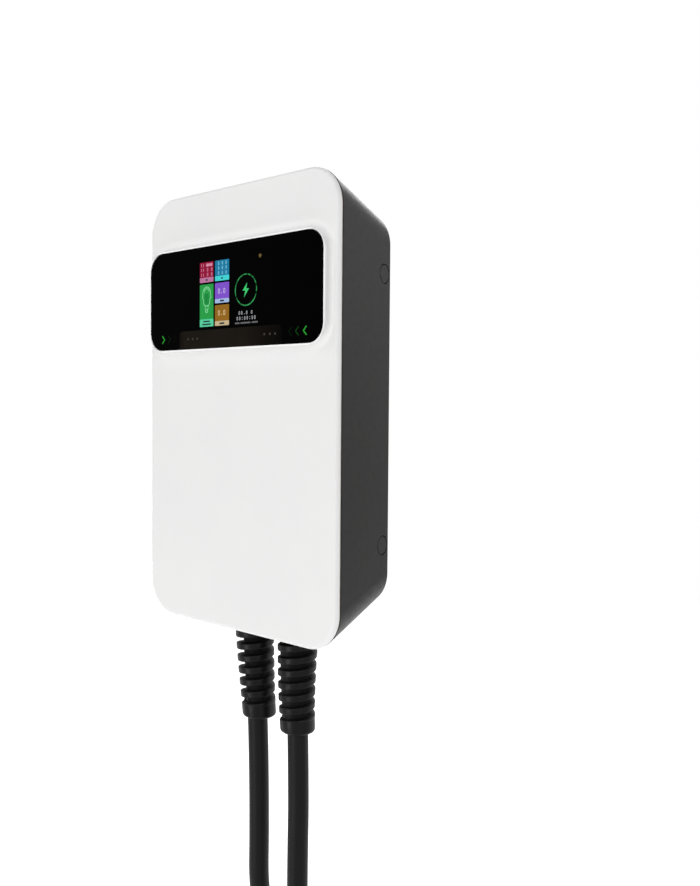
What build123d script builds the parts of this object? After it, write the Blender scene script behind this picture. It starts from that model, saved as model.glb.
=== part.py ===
from build123d import *
import math
import os

os.makedirs("parts", exist_ok=True)

# Wall-mounted charging box for electric vehicles, in millimetres.
# +Z is up, the front faces -Y and the wall is the plane y = 0.
# The origin is the middle of the four holes that hold the wall plate.

# Housing, a tapered tub that narrows from the front seam to the rear rim
housing_width = 215.0
housing_height = 350.0
housing_depth = 70.8
seam_corner = 29.5
rim_corner = 27.0
side_taper = 13.6
end_taper = 21.45
housing_wall = 3.0
rim_wall = 2.4
wall_gap = 0.5
housing_rise = 34.9
recess_depth = 3.0
floor_thickness = 3.0
rib_thickness = 1.5
fit_gap = 0.2
overrun = 3.0

rim_y = -wall_gap
seam_y = rim_y - housing_depth
recess_floor_y = rim_y - recess_depth
back_inner_y = recess_floor_y - floor_thickness

# Front cover, its raised display block and the seal behind it
seal_thickness = 0.8
seal_inset = 0.5
cover_depth = 4.6
cover_wall = 2.8
face_round = 3.6
block_rise = 6.4
window_side = 8.65
window_height = 80.6
window_corner = 16.0
window_rise = 88.5
window_thickness = 2.5
window_gap = 0.1
block_rim = 1.4
sweep_side = 3.0
sweep_end = 8.2
sweep_corner = 8.0
sweep_rise = 1.7
sweep_waist_share = 0.36
ledge_side = 5.8
ledge_end = 3.0
ledge_thickness = 3.2
bay_side = 0.9
lip_thickness = 1.8
lip_reach = 4.4
lip_gap = 0.3

window_width = housing_width - 2 * window_side
housing_front_y = seam_y + seal_thickness / 2
cover_back_y = seam_y - seal_thickness / 2
face_y = seam_y - cover_depth
window_y = face_y - block_rise
window_back_y = window_y + window_thickness
ledge_back_y = window_back_y + ledge_thickness
cover_inner_y = face_y + cover_wall
window_z = housing_rise + window_rise

# Cover screws and the deep columns that they go down
column_radius = 6.5
column_bore = 4.7
column_floor = 4.0
column_front_gap = 8.0
column_corner_side = 29.5
column_corner_end = 34.0
column_top_end = 28.0
column_side_inset = 21.9
column_side_z = -26.2
column_web = 2.0
cover_boss_radius = 4.6
cover_screw_radius = 2.0
cover_screw_length = 12.0
cover_head_radius = 3.7
cover_head_height = 2.8
screw_clearance = 0.15
recess_drive = 1.3

column_corner_x = housing_width / 2 - column_corner_side
column_corner_z = housing_height / 2 - column_corner_end
column_top_z = housing_height / 2 - column_top_end
column_side_x = housing_width / 2 - column_side_inset
column_front_y = seam_y + column_front_gap
column_seat_y = column_front_y + column_floor

# Wall plate with four bent tabs, and the side screws that hold the box on them
plate_thickness = 2.0
plate_step = 4.6
plate_top_inset = 34.25
plate_low_gap = 16.7
plate_corner = 1.5
plate_hole_radius = 3.0
plate_hole_x = 41.6
plate_hole_z = 74.7
tab_inset = 12.9
tab_height = 30.0
tab_depth = 14.5
tab_bend = 1.0
side_screw_inset = 17.2
side_screw_depth = 9.0
side_screw_radius = 2.4
side_screw_length = 13.8
side_head_radius = 4.2
side_head_height = 2.0
side_seat_inset = 2.6
side_pad_thickness = 1.8
side_pad_radius = 8.8
plug_radius = 7.3
plug_gap = 0.3
plug_chamfer = 0.5

# Rear side channels with their ladder ribs
channel_depth = 16.0
channel_width = 18.5
channel_end = 54.0
channel_wall = 2.5
ladder_width = 8.0
ladder_rail_shares = (0.5, 1.0)
ladder_reach = 28.8
ladder_rung_shares = (-1.0, -0.31, -0.11, 0.11, 0.31, 0.56)
channel_rib_shares = (0.62, 0.165, -0.62)
plate_rib_x = 43.0
rest_rib_shares = (0.57, 0.17, -0.23, -0.6)
rest_rib_width = 60.0
corner_rib_inset = 6.4

channel_start = housing_width / 2 - side_taper - channel_width
channel_half = housing_height / 2 - channel_end
side_screw_z = channel_half - side_screw_inset
tab_reach = housing_width / 2 - side_taper - tab_inset
plate_width = 2 * (tab_reach - plate_step)

# Pocket in the underside for the two cable glands
gland_x = 25.7
gland_depth = 28.8
pocket_half = 56.0
pocket_front = 23.2
pocket_rise = 142.7
pocket_corner = 4.0

gland_y = rim_y - gland_depth
pocket_top_z = housing_rise - pocket_rise
plate_top = housing_rise + housing_height / 2 - end_taper - plate_top_inset
plate_bottom = pocket_top_z + plate_low_gap

# Cable gland and its spiral bend relief
cable_radius = 8.5
washer_thickness = 1.5
washer_radius = 19.0
thread_radius = 15.9
thread_gap = 0.3
hex_height = 24.8
hex_across = 36.5
hex_chamfer = 0.6
gland_bore = 11.8
nut_height = 6.0
nut_across = 38.0
thread_spare = 1.0
spigot_radius = 14.4
spigot_height = 7.0
seal_length = 16.0
cap_radius = 16.75
cap_height = 11.0
cap_round = 1.5
relief_length = 92.0
relief_top_radius = 16.0
relief_low_radius = 14.6
collar_radius = 14.0
collar_height = 17.0
collar_round = 2.5
relief_bore_gap = 0.2
helix_pitch = 10.2
helix_slot = 4.6
helix_core_radius = 9.8
helix_lead = 2.6
supply_slot_turn = 10.0
output_slot_turn = 159.0

washer_low_z = pocket_top_z - washer_thickness
hex_low_z = washer_low_z - hex_height
relief_low_z = hex_low_z - relief_length
thread_top_z = pocket_top_z + housing_wall + nut_height + thread_spare

# Cable inside the box, its cores and the terminals
jacket_top = 5.0
core_radius = 2.1
core_circle = 4.8
core_bend = 6.0
core_rise = 9.0
core_straight = 12.0
core_count = 5
terminal_pitch_share = 0.19
terminal_edge = 7.6
terminal_middle = 5.4
terminal_height = 24.0
terminal_depth = 26.0
terminal_chamfer = 5.0
terminal_hole = 2.6
terminal_hole_depth = 9.0
terminal_entry = 12.4
terminal_screw_radius = 2.6
terminal_screw_drop = 2.0

# Main board and what stands on it, with places as shares of its width and height
board_side = 34.5
board_height_share = 0.56
board_thickness = 1.6
board_rise = 26.0
board_corner = 3.0
board_stand = 17.5
post_radius = 3.6
post_inset = 4.2
post_z_share = 0.43
board_screw_radius = 1.5
board_screw_length = 9.0
board_head_radius = 2.8
board_head_height = 2.2
relay_gap = 3.0
relay_height = 36.0
relay_depth = 34.0
relay_count = 4
relay_pitch_share = 0.226
relay_row_share = -0.125
relay_round = 1.5
sensor_radius = 21.0
sensor_bore = 11.5
sensor_height = 14.0
sensor_row_share = -0.298
sensor_lift = 4.0
bar_radius = 1.6
bar_pitch = 5.0
bar_reach = 13.0
module_width_share = 0.329
module_height = 30.0
module_depth = 22.0
module_x_share = -0.274
module_row_share = 0.071
capacitor_radius = 8.0
capacitor_length = 24.0
capacitor_pitch = 19.0
capacitor_x_share = -0.014
fuse_radius = 4.2
fuse_length_share = 0.164
fuse_clip_radius = 5.0
fuse_clip = 6.0
fuse_x_share = 0.301
fuse_pitch = 14.0
card_width = 62.0
card_height = 44.0
card_x_share = -0.233
card_row_share = 0.306
card_lift = 6.0
chip_side = 15.0
chip_depth = 1.4
chip_pitch = 24.0
header_height = 3.0
radio_width = 18.0
radio_height = 26.0
radio_depth = 3.2
radio_x_share = 0.356
radio_row_share = 0.357
buzzer_radius = 6.5
buzzer_height = 8.0
buzzer_x_share = 0.151

board_width = housing_width - 2 * board_side
board_height = housing_height * board_height_share
post_x = board_width / 2 - post_inset
terminal_width = board_width / 2 - terminal_edge - terminal_middle
terminal_x = terminal_middle + terminal_width / 2
terminal_pitch = terminal_width * terminal_pitch_share
relay_pitch = board_width * relay_pitch_share
relay_width = relay_pitch - relay_gap
module_width = board_width * module_width_share
module_x = board_width * module_x_share
capacitor_x = board_width * capacitor_x_share
fuse_length = board_width * fuse_length_share
fuse_x = board_width * fuse_x_share
card_x = board_width * card_x_share
radio_x = board_width * radio_x_share
buzzer_x = board_width * buzzer_x_share
board_back_y = back_inner_y - board_stand
board_front_y = board_back_y - board_thickness
board_z = housing_rise + board_rise
board_low_z = board_z - board_height / 2
relay_row_z = board_z + board_height * relay_row_share
sensor_z = board_z + board_height * sensor_row_share
module_z = board_z + board_height * module_row_share
card_z = board_z + board_height * card_row_share
radio_z = board_z + board_height * radio_row_share

# Display parts behind the window
screen_width = 71.0
screen_height = 63.9
screen_depth = 3.0
screen_x = -1.5
screen_z = 90.9
screen_view_width = 68.6
screen_view_height = 52.6
screen_bezel = 0.4
display_board_thickness = 1.6
led_shares = (0.668, 0.744, 0.824)
led_z = 57.2
led_width = 2.8
led_height = 3.6
led_depth = 1.2
shroud_width = 26.0
shroud_height = 9.6
shroud_depth = 2.6
shroud_slot_width = 5.2
shroud_slot_height = 7.2
shroud_share = 0.745
light_x = 35.8
light_z = 115.3
light_radius = 1.5
light_depth = 2.9
display_screw_radius = 1.2
display_screw_length = 4.0
display_head_radius = 2.2
display_head_height = 1.4
display_screw_inset = 2.6
display_screw_z = 24.0
ribbon_width_share = 0.151
ribbon_thickness = 0.8
ribbon_bend = 3.0
ribbon_x_share = 0.137
ribbon_low_share = 0.092
ribbon_high = 70.0
ribbon_socket = 4.0

ribbon_width = board_width * ribbon_width_share
ribbon_x = board_width * ribbon_x_share
ribbon_low_z = board_z + board_height * ribbon_low_share

# Supply cable, hanging free with stripped cores on its end
supply_route = (
    (-25.7, -29.3, -226.1),
    (-25.7, -29.3, -275.0),
    (-25.4, -29.2, -325.0),
    (-25.3, -28.8, -374.0),
    (-25.8, -11.3, -430.0),
    (-26.3, -10.6, -484.0),
    (-26.9, -10.6, -560.0),
    (-26.2, -10.9, -660.0),
    (-24.6, -11.3, -770.0),
)
bend_share = 0.45
end_core_length = 58.0
end_core_spread = 6.5
ferrule_radius = 1.6
ferrule_length = 14.0

# Output cable, its tied coil below the box and the plug on its end
output_route = (
    (25.7, -29.3, -226.1),
    (25.7, -29.3, -278.0),
    (26.3, -29.3, -328.0),
    (26.3, -29.3, -377.0),
)
coil_outer_turn = 132.0
coil_inner_turn = 72.5
coil_turns = 7
coil_slack = 0.4
coil_section_round = 7.0
lead_angle = 62.0
lead_radius = 100.0
lead_buried = 24.0
tail_drop = 92.0
tie_angles = (50.0, 205.0, 318.0)
tie_sweep = 9.0
tie_thickness = 2.2

plug_relief_length = 46.0
plug_relief_low = 13.5
plug_relief_rings = 5
plug_ring_depth = 1.2
plug_ring_width = 3.6
grip_length = 132.0
grip_forward = 18.0
grip_top = 15.5
grip_low = 24.3
grip_down_shares = (0.0, 0.3, 0.64, 0.89, 1.0)
grip_forward_shares = (0.0, 0.0, 0.39, 0.89, 1.0)
grip_radius_shares = (0.0, 0.28, 0.35, 0.79, 1.0)
grip_tilts = (0.0, 4.0, 14.0, 8.0, 0.0)
head_radius = 31.0
head_length = 34.0
head_flat = 24.5
head_wall = 2.6
head_recess = 27.0
face_length = 21.0
contact_radius = 2.8
contact_small = 1.6
contact_wall = 0.8
signal_pitch = 13.2
signal_rise = 11.0
contact_pitch = 14.0
contact_low_pitch = 14.8
contact_low_drop = 12.4


def facing(y, x=0.0, z=housing_rise):
    # a plane across the box, seen from the front
    return Plane(origin=(x, y, z), x_dir=(1, 0, 0), z_dir=(0, -1, 0))


def rounded(y, width, height, corner, x=0.0, z=housing_rise):
    return facing(y, x, z) * RectangleRounded(width, height, corner)


def slab(y_back, y_front, width, height, corner, x=0.0, z=housing_rise):
    # a rounded plate between two depths
    return extrude(rounded(y_back, width, height, corner, x, z), amount=y_back - y_front)


def block(x_span, y_span, z_span):
    low = [min(span) for span in (x_span, y_span, z_span)]
    high = [max(span) for span in (x_span, y_span, z_span)]
    size = [b - a for a, b in zip(low, high)]
    middle = [(a + b) / 2 for a, b in zip(low, high)]
    return Pos(*middle) * Box(*size)


def around(middle, width):
    return (middle - width / 2, middle + width / 2)


def rod_x(radius, x_start, x_end, y, z):
    plane = Plane(origin=(x_start, y, z), x_dir=(0, 1, 0), z_dir=(1, 0, 0))
    return extrude(plane * Circle(radius), amount=x_end - x_start)


def rod_y(radius, y_start, y_end, x, z):
    return extrude(facing(y_start, x, z) * Circle(radius), amount=y_start - y_end)


def rod_z(radius, z_start, z_end, x, y):
    plane = Plane(origin=(x, y, z_start), x_dir=(1, 0, 0), z_dir=(0, 0, 1))
    return extrude(plane * Circle(radius), amount=z_end - z_start)


def hexagon_z(across, z_start, z_end, x, y):
    plane = Plane(origin=(x, y, z_start), x_dir=(1, 0, 0), z_dir=(0, 0, 1))
    six_sides = RegularPolygon(radius=across / 2, side_count=6, major_radius=False)
    return extrude(plane * six_sides, amount=z_end - z_start)


def housing_outline(y, inset=0.0):
    # the tapered housing's outline at one depth, drawn in by an inset
    share = (y - seam_y) / housing_depth
    width = housing_width - 2 * side_taper * share - 2 * inset
    height = housing_height - 2 * end_taper * share - 2 * inset
    corner = seam_corner + (rim_corner - seam_corner) * share - inset
    return rounded(y, width, height, corner)


def tapered(y_front, y_back, inset=0.0):
    return loft([housing_outline(y_front, inset), housing_outline(y_back, inset)], ruled=True)


def side_x(y):
    # how far out the housing's side wall is at one depth
    return housing_width / 2 - side_taper * (y - seam_y) / housing_depth


def column_places():
    places = [(0.0, column_top_z)]
    places += [(sx * column_corner_x, sz * column_corner_z) for sx in (-1, 1) for sz in (-1, 1)]
    places += [(sx * column_side_x, column_side_z) for sx in (-1, 1)]
    return [(x, housing_rise + z) for x, z in places]


def side_screw_places():
    return [(sx, housing_rise + sz * side_screw_z) for sx in (-1, 1) for sz in (-1, 1)]


def gland_pocket(shell):
    # the hollow under the box that the glands stand in, or its walls' outer shape
    front = gland_y - pocket_front - shell
    low = housing_rise - housing_height / 2 - overrun
    hollow = block(around(0.0, 2 * (pocket_half + shell)), (front, overrun), (low, pocket_top_z + shell))
    return fillet(hollow.edges().filter_by(Axis.Z), pocket_corner + shell)


def side_channel(side, shell):
    inner = side * (channel_start - shell)
    outer = side * (side_x(rim_y) - rim_wall + shell)
    back = overrun if shell == 0 else rim_y
    height = 2 * (channel_half + shell)
    return block((inner, outer), (rim_y - channel_depth - shell, back), around(housing_rise, height))


def channel_ribs(side):
    # rungs across the channel and the ladder blocks beside the side screws
    outer = side_x(rim_y) - rim_wall / 2
    floor_y = rim_y - channel_depth - channel_wall / 2
    ribs = []
    for share in channel_rib_shares:
        middle = housing_rise + share * channel_half
        span = (side * tab_reach, side * outer)
        ribs.append(block(span, (floor_y, rim_y), around(middle, rib_thickness)))
    for sign in (-1, 1):
        base = housing_rise + sign * side_screw_z
        inner = outer - rim_wall / 2 - ladder_width
        rungs = [base + sign * share * ladder_reach for share in ladder_rung_shares]
        for middle in rungs:
            span = (side * inner, side * outer)
            ribs.append(block(span, (floor_y, rim_y), around(middle, rib_thickness)))
        for share in ladder_rail_shares:
            rail_x = side * (outer - rim_wall / 2 - share * ladder_width)
            ribs.append(block(around(rail_x, rib_thickness), (floor_y, rim_y), (rungs[0], rungs[-1])))
        pad_start = side_x(rim_y) - side_seat_inset - side_pad_thickness
        seat_z = housing_rise + sign * side_screw_z
        pad_y = rim_y - side_screw_depth
        ribs.append(rod_x(side_pad_radius - fit_gap, side * pad_start, side * outer, pad_y, seat_z))
    return ribs


def rear_ribs():
    # thin ribs of the shallow recess round the wall plate, and the low rests behind it
    top = housing_rise + housing_height / 2 - end_taper - rim_wall / 2
    pocket_edge = pocket_top_z + rib_thickness / 2
    ribs = []
    for side in (-1, 1):
        span = around(side * plate_rib_x, rib_thickness)
        ribs.append(block(span, (recess_floor_y, rim_y), (plate_top + fit_gap, top)))
        ribs.append(block(span, (recess_floor_y, rim_y), (plate_bottom - fit_gap, pocket_edge)))
        corner = around(side * (column_corner_x + corner_rib_inset), rib_thickness)
        for sign in (-1, 1):
            ends = [housing_rise + sign * channel_half, housing_rise + sign * column_corner_z]
            ribs.append(block(corner, (recess_floor_y, rim_y), ends))
    for share in rest_rib_shares:
        middle = housing_rise + share * housing_height / 2
        for side in (-1, 1):
            span = around(side * plate_rib_x, rest_rib_width)
            ribs.append(block(span, (recess_floor_y, -plate_thickness), around(middle, rib_thickness)))
    return ribs


def board_post_places():
    reach = board_height * post_z_share
    return [(sx * post_x, board_z + z) for sx in (-1, 1) for z in (-reach, 0.0, reach)]


def rear_housing():
    shell = tapered(housing_front_y, rim_y)
    cavity = tapered(housing_front_y - overrun, back_inner_y, housing_wall)
    cavity -= gland_pocket(housing_wall)
    recess = tapered(recess_floor_y, rim_y + overrun, rim_wall) - gland_pocket(housing_wall)
    for side in (-1, 1):
        cavity -= side_channel(side, channel_wall)
    tub = shell - cavity - recess - gland_pocket(0.0)
    for side in (-1, 1):
        tub -= side_channel(side, 0.0)
    added = rear_ribs() + channel_ribs(-1) + channel_ribs(1)
    for x, z in column_places():
        added.append(rod_y(column_radius, rim_y, column_front_y, x, z))
    for side in (-1, 1):
        web_z = housing_rise + column_side_z
        web_x = (side * column_side_x, side * (side_x(column_front_y) - housing_wall / 2))
        web_side = (web_z - column_web / 2, web_z + column_web / 2)
        added.append(block(web_x, (back_inner_y, column_front_y), web_side))
    for x, z in board_post_places():
        added.append(rod_y(post_radius, back_inner_y + floor_thickness / 2, board_back_y, x, z))
    for solid in added:
        tub += solid & shell
    for x, z in column_places():
        tub -= rod_y(column_bore, overrun, column_seat_y, x, z)
        tub -= rod_y(cover_screw_radius + screw_clearance, column_seat_y, column_front_y - overrun, x, z)
    for x, z in board_post_places():
        depth_y = board_back_y + board_screw_length - board_thickness
        tub -= rod_y(board_screw_radius + screw_clearance, depth_y, board_back_y - overrun, x, z)
    screw_y = rim_y - side_screw_depth
    seat_x = side_x(rim_y) - side_seat_inset
    for side, z in side_screw_places():
        tub -= rod_x(plug_radius + plug_gap, side * seat_x, side * housing_width / 2, screw_y, z)
        tub -= rod_x(side_screw_radius + screw_clearance, side * tab_reach, side * seat_x, screw_y, z)
    for side in (-1, 1):
        hole_top = pocket_top_z + housing_wall + overrun
        tub -= rod_z(thread_radius + thread_gap, pocket_top_z - overrun, hole_top, side * gland_x, gland_y)
    return tub


def front_cover():
    body = slab(cover_back_y, face_y, housing_width, housing_height, seam_corner)
    body = fillet(body.faces().sort_by(Axis.Y)[0].edges(), face_round)
    rim_width = window_width + 2 * block_rim
    rim_height = window_height + 2 * block_rim
    rim_radius = window_corner + block_rim
    foot_corner = rim_radius + sweep_corner
    foot = rounded(face_y, rim_width + 2 * sweep_side, rim_height + 2 * sweep_end, foot_corner, z=window_z)
    waist_width = rim_width + 2 * sweep_side * sweep_waist_share
    waist_height = rim_height + 2 * sweep_end * sweep_waist_share
    waist_corner = rim_radius + sweep_corner * sweep_waist_share
    waist = rounded(face_y - sweep_rise, waist_width, waist_height, waist_corner, z=window_z)
    brow = rounded(window_y, rim_width, rim_height, rim_radius, z=window_z)
    body += loft([foot, waist, brow])
    inner_corner = seam_corner - cover_wall
    inner_width = housing_width - 2 * cover_wall
    inner_height = housing_height - 2 * cover_wall
    body -= slab(cover_back_y + overrun, cover_inner_y, inner_width, inner_height, inner_corner)
    bay_width = window_width - 2 * bay_side
    bay_height = window_height - 2 * bay_side
    bay_corner = window_corner - bay_side
    body -= slab(cover_inner_y + overrun, ledge_back_y, bay_width, bay_height, bay_corner, z=window_z)
    open_width = window_width - 2 * ledge_side
    open_height = window_height - 2 * ledge_end
    open_corner = window_corner - ledge_side
    body -= slab(ledge_back_y + overrun, window_y, open_width, open_height, open_corner, z=window_z)
    seat_width = window_width + 2 * window_gap
    seat_height = window_height + 2 * window_gap
    seat_corner = window_corner + window_gap
    body -= slab(window_back_y, window_y - overrun, seat_width, seat_height, seat_corner, z=window_z)
    lip_outer = housing_wall + lip_gap
    lip_root_y = cover_inner_y - cover_wall / 2
    lip = tapered(lip_root_y, housing_front_y + lip_reach, lip_outer)
    lip -= tapered(lip_root_y - overrun, housing_front_y + lip_reach + overrun, lip_outer + lip_thickness)
    body += lip
    for x, z in column_places():
        body += rod_y(cover_boss_radius, column_front_y, lip_root_y, x, z)
        tip_y = column_seat_y - cover_screw_length - fit_gap
        body -= rod_y(cover_screw_radius + screw_clearance, column_front_y + overrun, tip_y, x, z)
    for x, z in display_screw_places():
        tip_y = ledge_back_y - display_screw_length + display_board_thickness
        body -= rod_y(display_screw_radius + screw_clearance, ledge_back_y + overrun, tip_y - fit_gap, x, z)
    return body


def front_seal():
    ring = tapered(cover_back_y, housing_front_y, seal_inset)
    ring -= tapered(cover_back_y - overrun, housing_front_y + overrun, housing_wall)
    return ring


def pan_screw(head_size, shank_size, drive):
    # a screw along -Y with its seat at the origin and a square drive in its head
    head_radius, head_height = head_size
    head = rod_y(head_radius, head_height, 0.0, 0.0, 0.0)
    head = fillet(head.faces().sort_by(Axis.Y)[-1].edges(), head_height / 3)
    radius, length = shank_size
    shank = rod_y(radius, 0.0, -length, 0.0, 0.0)
    socket = block(around(0.0, 2 * drive), (head_height / 2, head_height + overrun), around(0.0, 2 * drive))
    return head + shank - socket


def cover_screws():
    head = (cover_head_radius, cover_head_height)
    screw = pan_screw(head, (cover_screw_radius, cover_screw_length), recess_drive)
    return [Pos(x, column_seat_y, z) * screw for x, z in column_places()]


def wall_plate():
    height = plate_top - plate_bottom
    middle = (plate_top + plate_bottom) / 2
    sheet = slab(0.0, -plate_thickness, plate_width, height, plate_corner, z=middle)
    for side, z in side_screw_places():
        bend_x = side * tab_reach
        inner_x = side * (tab_reach - plate_thickness)
        root_x = side * (plate_width / 2 - plate_thickness)
        corners = [
            (root_x, 0.0),
            (bend_x, 0.0),
            (bend_x, -tab_depth),
            (inner_x, -tab_depth),
            (inner_x, -plate_thickness),
            (root_x, -plate_thickness),
        ]
        low = z - tab_height / 2
        profile = Pos(0, 0, low) * make_face(Polyline(*corners, close=True))
        outer = profile.vertices().sort_by_distance((bend_x, 0.0, low))[0]
        profile = fillet(outer, tab_bend + plate_thickness)
        inner = profile.vertices().sort_by_distance((inner_x, -plate_thickness, low))[0]
        profile = fillet(inner, tab_bend)
        sheet += extrude(profile, amount=tab_height, dir=(0, 0, 1))
        screw_y = rim_y - side_screw_depth
        hole_radius = side_screw_radius + screw_clearance
        sheet -= rod_x(hole_radius, side * channel_start, side * (tab_reach + overrun), screw_y, z)
    for sx in (-1, 1):
        for sz in (-1, 1):
            front = -plate_thickness - overrun
            sheet -= rod_y(plate_hole_radius, overrun, front, sx * plate_hole_x, sz * plate_hole_z)
    return sheet


def side_screws():
    seat_x = side_x(rim_y) - side_seat_inset
    shank = (side_screw_radius, side_screw_length)
    screw = pan_screw((side_head_radius, side_head_height), shank, recess_drive)
    screws = []
    for side, z in side_screw_places():
        turned = Rot(0, 0, -90 * side) * screw
        screws.append(Pos(side * seat_x, rim_y - side_screw_depth, z) * turned)
    return screws


def side_plugs():
    shell = tapered(housing_front_y, rim_y)
    inner_x = side_x(rim_y) - side_seat_inset + side_head_height + fit_gap
    plugs = []
    for side, z in side_screw_places():
        disc = rod_x(plug_radius, side * inner_x, side * housing_width / 2, rim_y - side_screw_depth, z)
        disc = disc & shell
        rim = disc.edges().sort_by(Axis.X)[0 if side < 0 else -1]
        plugs.append(chamfer(rim, plug_chamfer))
    return plugs


def display_window():
    return slab(window_back_y, window_y, window_width, window_height, window_corner, z=window_z)


def lcd_module():
    z = housing_rise + screen_z
    front = ledge_back_y - screen_depth
    body = slab(ledge_back_y, front, screen_width, screen_height, board_thickness, screen_x, z)
    view = (screen_view_width, screen_view_height, screen_bezel)
    return body - slab(front + screen_bezel, front - overrun, *view, screen_x, z)


def display_board():
    width = window_width - 2 * bay_side - 2 * window_gap
    height = window_height - 2 * bay_side - 2 * window_gap
    back = ledge_back_y + display_board_thickness
    board = slab(back, ledge_back_y, width, height, window_corner - bay_side - window_gap, z=window_z)
    for x, z in display_screw_places():
        board -= rod_y(display_screw_radius + screw_clearance, back + overrun, ledge_back_y - overrun, x, z)
    return board


def display_screw_places():
    reach = window_width / 2 - bay_side - display_screw_inset
    return [(sx * reach, window_z + sz * display_screw_z) for sx in (-1, 1) for sz in (-1, 1)]


def display_screws():
    back = ledge_back_y + display_board_thickness
    head = (display_head_radius, display_head_height)
    screw = pan_screw(head, (display_screw_radius, display_screw_length), recess_drive / 2)
    return [Pos(x, back, z) * screw for x, z in display_screw_places()]


def led_places(side):
    return [side * share * window_width / 2 for share in led_shares]


def indicator_leds():
    lamps = []
    front = ledge_back_y - led_depth
    z = housing_rise + led_z
    for side in (-1, 1):
        for x in led_places(side):
            lamps.append(slab(ledge_back_y, front, led_width, led_height, fit_gap, x, z))
    return lamps


def light_shrouds():
    # black frames that keep each lamp's light to its own mark on the window
    frames = []
    z = housing_rise + led_z
    front = ledge_back_y - shroud_depth
    for side in (-1, 1):
        outline = (shroud_width, shroud_height, board_thickness)
        frame = slab(ledge_back_y, front, *outline, side * shroud_share * window_width / 2, z)
        for x in led_places(side):
            slot = (shroud_slot_width, shroud_slot_height, fit_gap)
            frame -= slab(ledge_back_y + overrun, front - overrun, *slot, x, z)
        frames.append(frame)
    return frames


def light_sensor():
    dome = rod_y(light_radius, ledge_back_y, ledge_back_y - light_depth, light_x, housing_rise + light_z)
    return fillet(dome.faces().sort_by(Axis.Y)[0].edges(), light_radius / 3)


def on_board(x, z, width, height, depth, corner, lift=0.0):
    # a block that stands on the main board, or on what lifts it
    start = board_front_y - lift
    return slab(start, start - depth, width, height, corner, x, z)


def main_board():
    board = slab(board_back_y, board_front_y, board_width, board_height, board_corner, z=board_z)
    hole_radius = board_screw_radius + screw_clearance
    for x, z in board_post_places():
        board -= rod_y(hole_radius, board_back_y + overrun, board_front_y - overrun, x, z)
    return board


def board_screws():
    head = (board_head_radius, board_head_height)
    screw = pan_screw(head, (board_screw_radius, board_screw_length), recess_drive / 2)
    turned = Rot(0, 0, 180) * screw
    return [Pos(x, board_front_y, z) * turned for x, z in board_post_places()]


def power_relays():
    relays = []
    for index in range(relay_count):
        x = (index - (relay_count - 1) / 2) * relay_pitch
        relay = on_board(x, relay_row_z, relay_width, relay_height, relay_depth, relay_round)
        relays.append(fillet(relay.faces().sort_by(Axis.Y)[0].edges(), relay_round / 2))
    return relays


def sensor_centre():
    return board_front_y - sensor_lift - sensor_radius, sensor_z


def fault_sensor():
    # the ring that the current bars pass through, on its moulded foot
    y, z = sensor_centre()
    low = z - sensor_height / 2
    ring = rod_z(sensor_radius, low, low + sensor_height, 0.0, y)
    foot = block((-sensor_radius, sensor_radius), (board_front_y, y), (low, low + sensor_height))
    body = ring + foot
    body = fillet(body.edges().filter_by(Axis.Z), relay_round)
    return body - rod_z(sensor_bore, low - overrun, low + sensor_height + overrun, 0.0, y)


def current_bars():
    y, z = sensor_centre()
    bars = []
    for index in range(core_count - 1):
        x = (index - (core_count - 2) / 2) * bar_pitch
        points = [
            (x, board_front_y, z - bar_reach),
            (x, y, z - bar_reach),
            (x, y, z + bar_reach),
            (x, board_front_y, z + bar_reach),
        ]
        path = FilletPolyline(*points, radius=2 * bar_radius)
        start = Plane(origin=points[0], z_dir=(0, -1, 0))
        bars.append(sweep(start * Circle(bar_radius), path=path))
    return bars


def power_module():
    body = on_board(module_x, module_z, module_width, module_height, module_depth, relay_round)
    return fillet(body.faces().sort_by(Axis.Y)[0].edges(), relay_round / 2)


def capacitors():
    cans = []
    for index in range(2):
        z = module_z + (index - 1 / 2) * capacitor_pitch
        can = rod_y(capacitor_radius, board_front_y, board_front_y - capacitor_length, capacitor_x, z)
        cans.append(fillet(can.faces().sort_by(Axis.Y)[0].edges(), relay_round / 2))
    return cans


def fuses():
    # three cartridge fuses, each in its pair of clips
    made = []
    for index in range(3):
        z = module_z + (index - 1) * fuse_pitch
        y = board_front_y - fuse_clip_radius
        fuse = rod_x(fuse_radius, fuse_x - fuse_length / 2, fuse_x + fuse_length / 2, y, z)
        for end in (-1, 1):
            edge = fuse_x + end * fuse_length / 2
            inner = edge - end * fuse_clip
            fuse += rod_x(fuse_clip_radius, inner, edge, y, z)
            fuse += block((inner, edge), (board_front_y, y), (z - fuse_radius / 2, z + fuse_radius / 2))
        made.append(fuse)
    return made


def processor_card():
    # the control card on its pin strips, with its chips
    card = on_board(card_x, card_z, card_width, card_height, board_thickness, board_thickness, card_lift)
    for sign in (-1, 1):
        strip_z = card_z + sign * (card_height / 2 - header_height)
        card += on_board(card_x, strip_z, card_width - card_lift, header_height, card_lift, fit_gap)
    for sign in (-1, 1):
        x = card_x + sign * chip_pitch / 2
        lift = card_lift + board_thickness
        card += on_board(x, card_z, chip_side, chip_side, chip_depth, fit_gap, lift)
    return card


def radio_module():
    base = on_board(radio_x, radio_z, radio_width, radio_height, radio_depth / 4, fit_gap)
    can_height = radio_height * 2 / 3
    can_z = radio_z - (radio_height - can_height) / 2 + header_height / 2
    return base + on_board(radio_x, can_z, radio_width - header_height, can_height, radio_depth, fit_gap)


def buzzer():
    can = rod_y(buzzer_radius, board_front_y, board_front_y - buzzer_height, buzzer_x, radio_z)
    hole = (board_front_y - buzzer_height / 2, board_front_y - buzzer_height - overrun)
    return can - rod_y(buzzer_radius / 4, *hole, buzzer_x, radio_z)


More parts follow.
